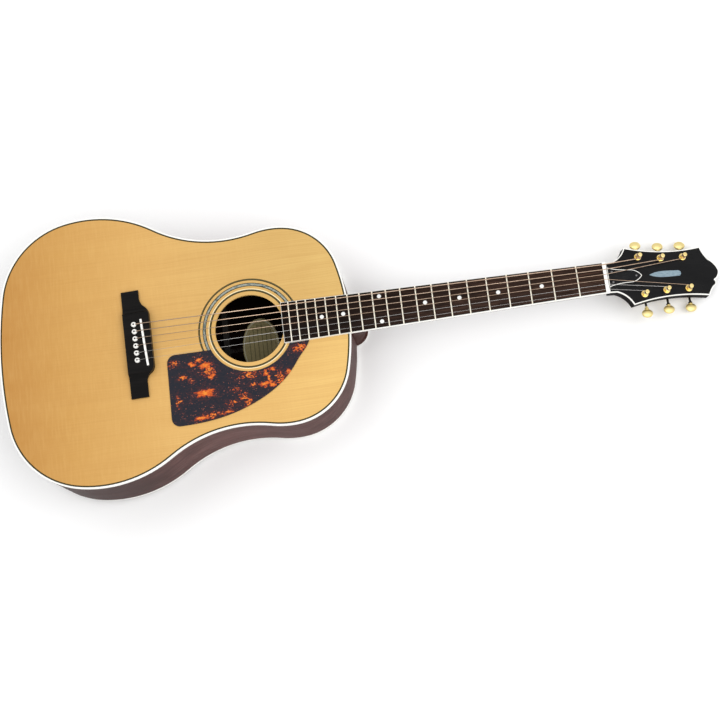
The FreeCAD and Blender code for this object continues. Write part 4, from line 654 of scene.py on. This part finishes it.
def metal(name, tone, worn, roughness, scale=(0.3, 0.3, 0.3), relief=0.01):
    """Metal with brushed roughness and slight tarnish."""
    finish = Finish(name, Metallic=1.0)
    brushed = finish.noise(finish.scaled(*scale), 4.0, 0.6)
    tarnish = finish.noise(finish.scaled(0.08, 0.08, 0.08), 3.0)
    finish.colour(finish.mix(finish.spread(tarnish, 0.45, 0.75, 0.0, 0.7), (*tone, 1), worn))
    finish.rough(finish.spread(brushed, 0.3, 0.7, roughness * 0.75, roughness * 1.4))
    return finish.bump(brushed, relief, 0.15)


def nickel_silver():
    return metal("nickel_silver", (0.94, 0.89, 0.76), (0.84, 0.75, 0.58), 0.24, (0.3, 0.1, 0.3))


def rod_steel():
    return metal("rod_steel", (0.20, 0.20, 0.21), (0.13, 0.12, 0.11), 0.42)


def gold_plate():
    return metal("gold_plate", (0.95, 0.76, 0.34), (0.84, 0.60, 0.22), 0.22, (0.5, 0.5, 0.5))


def tuner_gold(side):
    """Satin gold of one side's tuning buttons, with painted shade making the stem between button and headstock
    nearly black.
    """
    name = "tuner_gold_bass" if side > 0 else "tuner_gold_treble"
    finish = metal(name, (0.80, 0.66, 0.30), (0.70, 0.55, 0.22), 0.42, (0.5, 0.5, 0.5))
    boxes = [own_box(f"tuning_button_{number}") for number in TUNERS_BY_SIDE[side]]
    # painted shade: the stem between button and headstock is made nearly black
    stem_end = min(max(abs(low.y), abs(high.y)) for low, high in boxes) - BUTTON_LENGTH
    on_stem = finish.math("LESS_THAN", finish.math("ABSOLUTE", finish.axis("Y")), stem_end)
    return finish.colour(finish.mix(on_stem, finish.colour_so_far(), (0.020, 0.016, 0.010)))


def plain_steel():
    finish = metal("plain_steel", (0.88, 0.86, 0.84), (0.66, 0.63, 0.61), 0.26, (0.02, 2.0, 2.0))
    # painted shade and highlight along the string's length
    return finish.toned(*STRING_SPAN, STRING_LIGHT_AND_SHADE)


def wound_bronze():
    """Bronze winding: close ridges across the string, with painted shade in the grooves between them."""
    finish = Finish("wound_bronze", Metallic=1.0)
    turns = finish.add("TexWave", {"wave_type": "BANDS", "bands_direction": "X", "wave_profile": "SIN"},
                       Vector=finish.own, Scale=0.9, Distortion=0.0).outputs["Fac"]
    tarnish = finish.noise(finish.scaled(0.02, 0.5, 0.5), 3.0)
    bright = finish.ramp(tarnish, [(0.3, (0.90, 0.68, 0.52)), (0.7, (0.68, 0.48, 0.34))])
    # painted shade: the grooves between the turns are darkened
    finish.colour(finish.mix(finish.spread(turns, 0.0, 0.35, 0.55, 0.0), bright, (0.18, 0.10, 0.06)))
    # painted shade and highlight along the string's length
    finish.toned(*STRING_SPAN, STRING_LIGHT_AND_SHADE)
    finish.rough(finish.spread(tarnish, 0.3, 0.7, 0.24, 0.38))
    return finish.bump(turns, 0.08, 0.5)


FINISHES = (
    spruce_top, rosette_inlay, tortoiseshell, ivory_plastic, purfling_lines, rosewood_sides, rosewood_back,
    dark_wood_strip, mahogany_inner, marquetry_strip, spruce_brace, paper_label, bone, ebony, white_pin,
    rosewood_board, pearl, blue_pearl, nickel_silver, black_lacquer, cover_plastic, mahogany_neck, rod_steel,
    gold_plate, plain_steel, wound_bronze,
)
MATERIALS = {make.__name__: make().material for make in FINISHES}

for part in record["subparts"]:
    node = nodes[part["node"]]
    node.data.materials.clear()
    node.data.materials.append(MATERIALS[part["material_slot"]])
nodes["fretboard_binding"].data.materials[0] = board_edging().material
for head_side, tuner_numbers in TUNERS_BY_SIDE.items():
    button_gold = tuner_gold(head_side).material
    for tuner_number in tuner_numbers:
        nodes[f"tuning_button_{tuner_number}"].data.materials[0] = button_gold


# ---------------------------------------------------------------- pieces drawn round the CAD

def add_piece(name, mesh, slot, *materials, body="guitar_body"):
    """Mesh piece whose vertices are already in the row frame."""
    piece = bpy.data.objects.new(name, mesh)
    bpy.context.scene.collection.objects.link(piece)
    for material in materials:
        mesh.materials.append(material)
    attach(piece, body)
    return piece


def loop_length(points):
    return sum((points[index] - points[index - 1]).length for index in range(len(points)))


def top_loops(node, axes=AXES, flatness=0.9):
    """Closed loops of points, in millimetres on the given axes, round the faces at a node's top."""
    shape = bmesh.new()
    shape.from_mesh(nodes[node].data)
    shape.transform(axes.inverted())
    bmesh.ops.scale(shape, vec=(1 / MM,) * 3, verts=shape.verts)
    bmesh.ops.remove_doubles(shape, verts=shape.verts, dist=0.001)
    shape.normal_update()
    summit = max(vertex.co.z for vertex in shape.verts)
    upward = {face for face in shape.faces
              if face.normal.z > flatness and face.calc_center_median().z > summit - 0.05}
    following = {}
    for face in upward:
        for corner in face.loops:
            neighbour = [other for other in corner.edge.link_faces if other is not face]
            if not neighbour or neighbour[0] not in upward:
                following[corner.vert] = corner.link_loop_next.vert
    loops = []
    while following:
        start = vertex = next(iter(following))
        points = []
        while vertex in following:
            points.append(vertex.co.copy())
            vertex = following.pop(vertex)
        loops.append(points)
        assert vertex is start
    shape.free()
    return sorted(loops, key=loop_length, reverse=True)


def inset_loop(points, amount):
    """Loop drawn inside a counterclockwise loop."""
    inside = []
    for index, point in enumerate(points):
        along = (points[(index + 1) % len(points)] - points[index - 1]).normalized()
        inside.append(point + Vector((-along.y, along.x, 0)) * amount)
    return inside


def closed_strip(shape, near, far, top, thickness, material_index=0, axes=AXES):
    """Ring between two matching loops, flat on top, of an even thickness."""
    rows = []
    for first, second in zip(near, far):
        rows.append([(first.x, first.y, top), (second.x, second.y, top),
                     (second.x, second.y, top - thickness), (first.x, first.y, top - thickness)])
    corners = [[shape.verts.new(axes @ (Vector(corner) * MM)) for corner in row] for row in rows]
    for index, row in enumerate(corners):
        before = corners[index - 1]
        for side in range(4):
            face = shape.faces.new((before[side], row[side], row[(side + 1) % 4], before[(side + 1) % 4]))
            face.material_index = material_index


def nearest(point, loop):
    """Nearest point of a closed loop of straight pieces."""
    best, best_gap = None, math.inf
    for index, end in enumerate(loop):
        start = loop[index - 1]
        run = end - start
        share = max(0.0, min(1.0, (point - start).dot(run) / max(run.length_squared, 1e-12)))
        candidate = start + run * share
        gap = (candidate - point).length_squared
        if gap < best_gap:
            best, best_gap = candidate, gap
    return best


def finished_mesh(shape, name):
    """Mesh from a bmesh, its faces turned outwards."""
    bmesh.ops.recalc_face_normals(shape, faces=shape.faces)
    mesh = bpy.data.meshes.new(name)
    shape.to_mesh(mesh)
    shape.free()
    return mesh


def purfling_piece():
    """Dark, olive and dark lines in place of the plain purfling strip."""
    outer, inner = top_loops("top_purfling")[:2]
    low, high = own_box("top_purfling")
    beside = [nearest(point, inner) for point in outer]
    shape = bmesh.new()
    for start, end, index in ((0.0, 0.35, 0), (0.36, 0.64, 1), (0.65, 1.0, 0)):
        near = [point.lerp(other, start) for point, other in zip(outer, beside)]
        far = [point.lerp(other, end) for point, other in zip(outer, beside)]
        closed_strip(shape, near, far, high.z, high.z - low.z, index)
    olive = line_finish("olive_line", OLIVE_LINE).material
    piece = add_piece("purfling_lines", finished_mesh(shape, "purfling_lines"), "purfling_lines",
                      MATERIALS["purfling_lines"], olive)
    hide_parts("top_purfling")


HEAD_START = Vector((5, 0, 4))
HEAD_PITCH = 14
HEAD_AXES = AXES @ Matrix.Translation(HEAD_START * MM) @ Matrix.Rotation(math.radians(HEAD_PITCH), 4, "Y")


def cover_line():
    """White line round the top of the truss rod's cover."""
    line_start, line_end, raised, thickness = 0.1, 0.95, 0.04, 0.3
    outline = top_loops("truss_rod_cover", HEAD_AXES)[0]
    area = sum(before.x * point.y - point.x * before.y
               for before, point in zip(outline[-1:] + outline, outline))
    if area < 0:
        outline.reverse()
    shape = bmesh.new()
    top = outline[0].z
    closed_strip(shape, inset_loop(outline, line_start), inset_loop(outline, line_end), top + raised,
                 thickness, axes=HEAD_AXES)
    add_piece("cover_line", finished_mesh(shape, "cover_line"), "ivory_plastic", MATERIALS["ivory_plastic"])


# ---------------------------------------------------------------- string ends round the posts

# thickness of each string, and heights and radii of a post, in millimetres; the post's joint lies
# POST_DEPTH under the headstock's face
GAUGES = (0.30, 0.41, 0.62, 0.81, 1.07, 1.35)
POST_DEPTH = 19.5
COIL_START = 5.0
POST_HOLE = 6.6
POST_RADIUS = 3.0
POST_WAIST = 2.5
# how far a string's end reaches back into the stretched string
STRING_LAP = 0.7


def tube(points, radius, sides=10):
    """Round closed tube along a path."""
    shape = bmesh.new()
    across = Vector((0, 0, 1))
    rings = []
    for index, point in enumerate(points):
        ahead = points[min(index + 1, len(points) - 1)] - points[max(index - 1, 0)]
        ahead.normalize()
        across = (across - ahead * across.dot(ahead)).normalized()
        beside = ahead.cross(across)
        rings.append([shape.verts.new(point + (across * math.cos(turn) + beside * math.sin(turn)) * radius)
                      for turn in (2 * math.pi * step / sides for step in range(sides))])
    for before, ring in zip(rings, rings[1:]):
        for side in range(sides):
            shape.faces.new((before[side], before[side - 1], ring[side - 1], ring[side]))
    shape.faces.new(rings[0])
    shape.faces.new(reversed(rings[-1]))
    for face in shape.faces:
        face.smooth = len(face.verts) == 4
    return shape


def string_end(number):
    """A string's last turns round the waist of its post and its tail through the post's hole."""
    joint = next(item for item in record["behaviour"]["joints"] if item["name"] == f"post_{number}_turn")
    normal = Vector(joint["axis"]).normalized()
    along = Vector((0, 1, 0)).cross(normal).normalized()
    side = 1 if number > 3 else -1
    radius = GAUGES[number - 1] / 2
    rise = POST_HOLE - COIL_START
    turns = max(1, int(rise / (2 * radius) - 0.25)) + 0.25

    def at(u, y, n):
        return Vector(joint["pos_m"]) + (along * u + Vector((0, y, 0)) + normal * (POST_DEPTH + n)) * MM

    points = [at(-STRING_LAP, -side * (POST_RADIUS + radius), COIL_START)]
    steps = int(turns * 32)
    for step in range(steps + 1):
        share = step / steps
        angle = side * (2 * math.pi * turns * share - math.pi / 2)
        settle = min(1.0, share * turns / 0.2)
        reach = POST_RADIUS + radius + 0.03 - (POST_RADIUS - POST_WAIST) * settle
        points.append(at(reach * math.cos(angle), reach * math.sin(angle), COIL_START + rise * share))
    last = POST_WAIST + radius + 0.03
    points += [at(last - 0.15, side * 0.35, POST_HOLE), at(last - 0.6, side * 0.1, POST_HOLE)]
    points += [at(u, 0, POST_HOLE) for u in (1.6, 0.0, -1.6, -POST_RADIUS - 1.4)]
    slot = "plain_steel" if number < 3 else "wound_bronze"
    add_piece(f"string_end_{number}", finished_mesh(tube(points, radius * MM), f"string_end_{number}"), slot,
              MATERIALS[slot], body=f"string_post_{number}")


def add_floor():
    """Plain pale floor that reaches past every view."""
    half = 8.0
    shape = bmesh.new()
    sides = ((-half, -half), (half, -half), (half, half), (-half, half))
    corners = [shape.verts.new((x, y, 0)) for x, y in sides]
    shape.faces.new(corners)
    mesh = bpy.data.meshes.new("floor")
    shape.to_mesh(mesh)
    shape.free()
    finish = Finish("floor", Specular_IOR_Level=0.1)
    paper = finish.noise(finish.scaled(0.002, 0.002, 0.002), 2.0)
    finish.colour(finish.ramp(paper, [(0.3, (0.965, 0.965, 0.965)), (0.7, (0.98, 0.98, 0.98))]))
    finish.rough(0.9)
    mesh.materials.append(finish.material)
    floor = bpy.data.objects.new("floor", mesh)
    bpy.context.scene.collection.objects.link(floor)


def add_world(strength):
    world = bpy.data.worlds.new("studio")
    world.use_nodes = True
    background = world.node_tree.nodes["Background"]
    background.inputs["Color"].default_value = (1, 1, 1, 1)
    background.inputs["Strength"].default_value = strength
    bpy.context.scene.world = world


def add_softbox(name, location, target, size, watts):
    """Square area light aimed at a point."""
    data = bpy.data.lights.new(name, "AREA")
    data.energy = watts
    data.size = size
    light = bpy.data.objects.new(name, data)
    light.location = location
    light.rotation_euler = (Vector(target) - Vector(location)).to_track_quat("-Z", "Y").to_euler()
    bpy.context.scene.collection.objects.link(light)


def add_camera():
    """Camera high over the treble side, a little below the middle of the body."""
    turn = Euler([math.radians(angle) for angle in (13.7126, 5.3262, -6.7237)])
    stand = Vector((-230.904, -550.106, 1896.244)) * MM
    data = bpy.data.cameras.new("camera")
    data.lens = 70
    data.sensor_width = 36
    data.clip_start = 0.05
    camera = bpy.data.objects.new("camera", data)
    camera.matrix_world = AXES @ Matrix.LocRotScale(stand, turn, None)
    bpy.context.scene.collection.objects.link(camera)
    bpy.context.scene.camera = camera


purfling_piece()
cover_line()
for string_number in range(1, 7):
    string_end(string_number)
add_floor()
add_world(0.95)
add_softbox("key", (1.5, -0.7, 2.1), (-0.1, 0, 0), 1.8, 26)
add_softbox("fill", (-1.4, 0.6, 2.0), (0, 0, 0), 1.8, 6)
add_camera()
bpy.context.scene.view_settings.view_transform = "Standard"
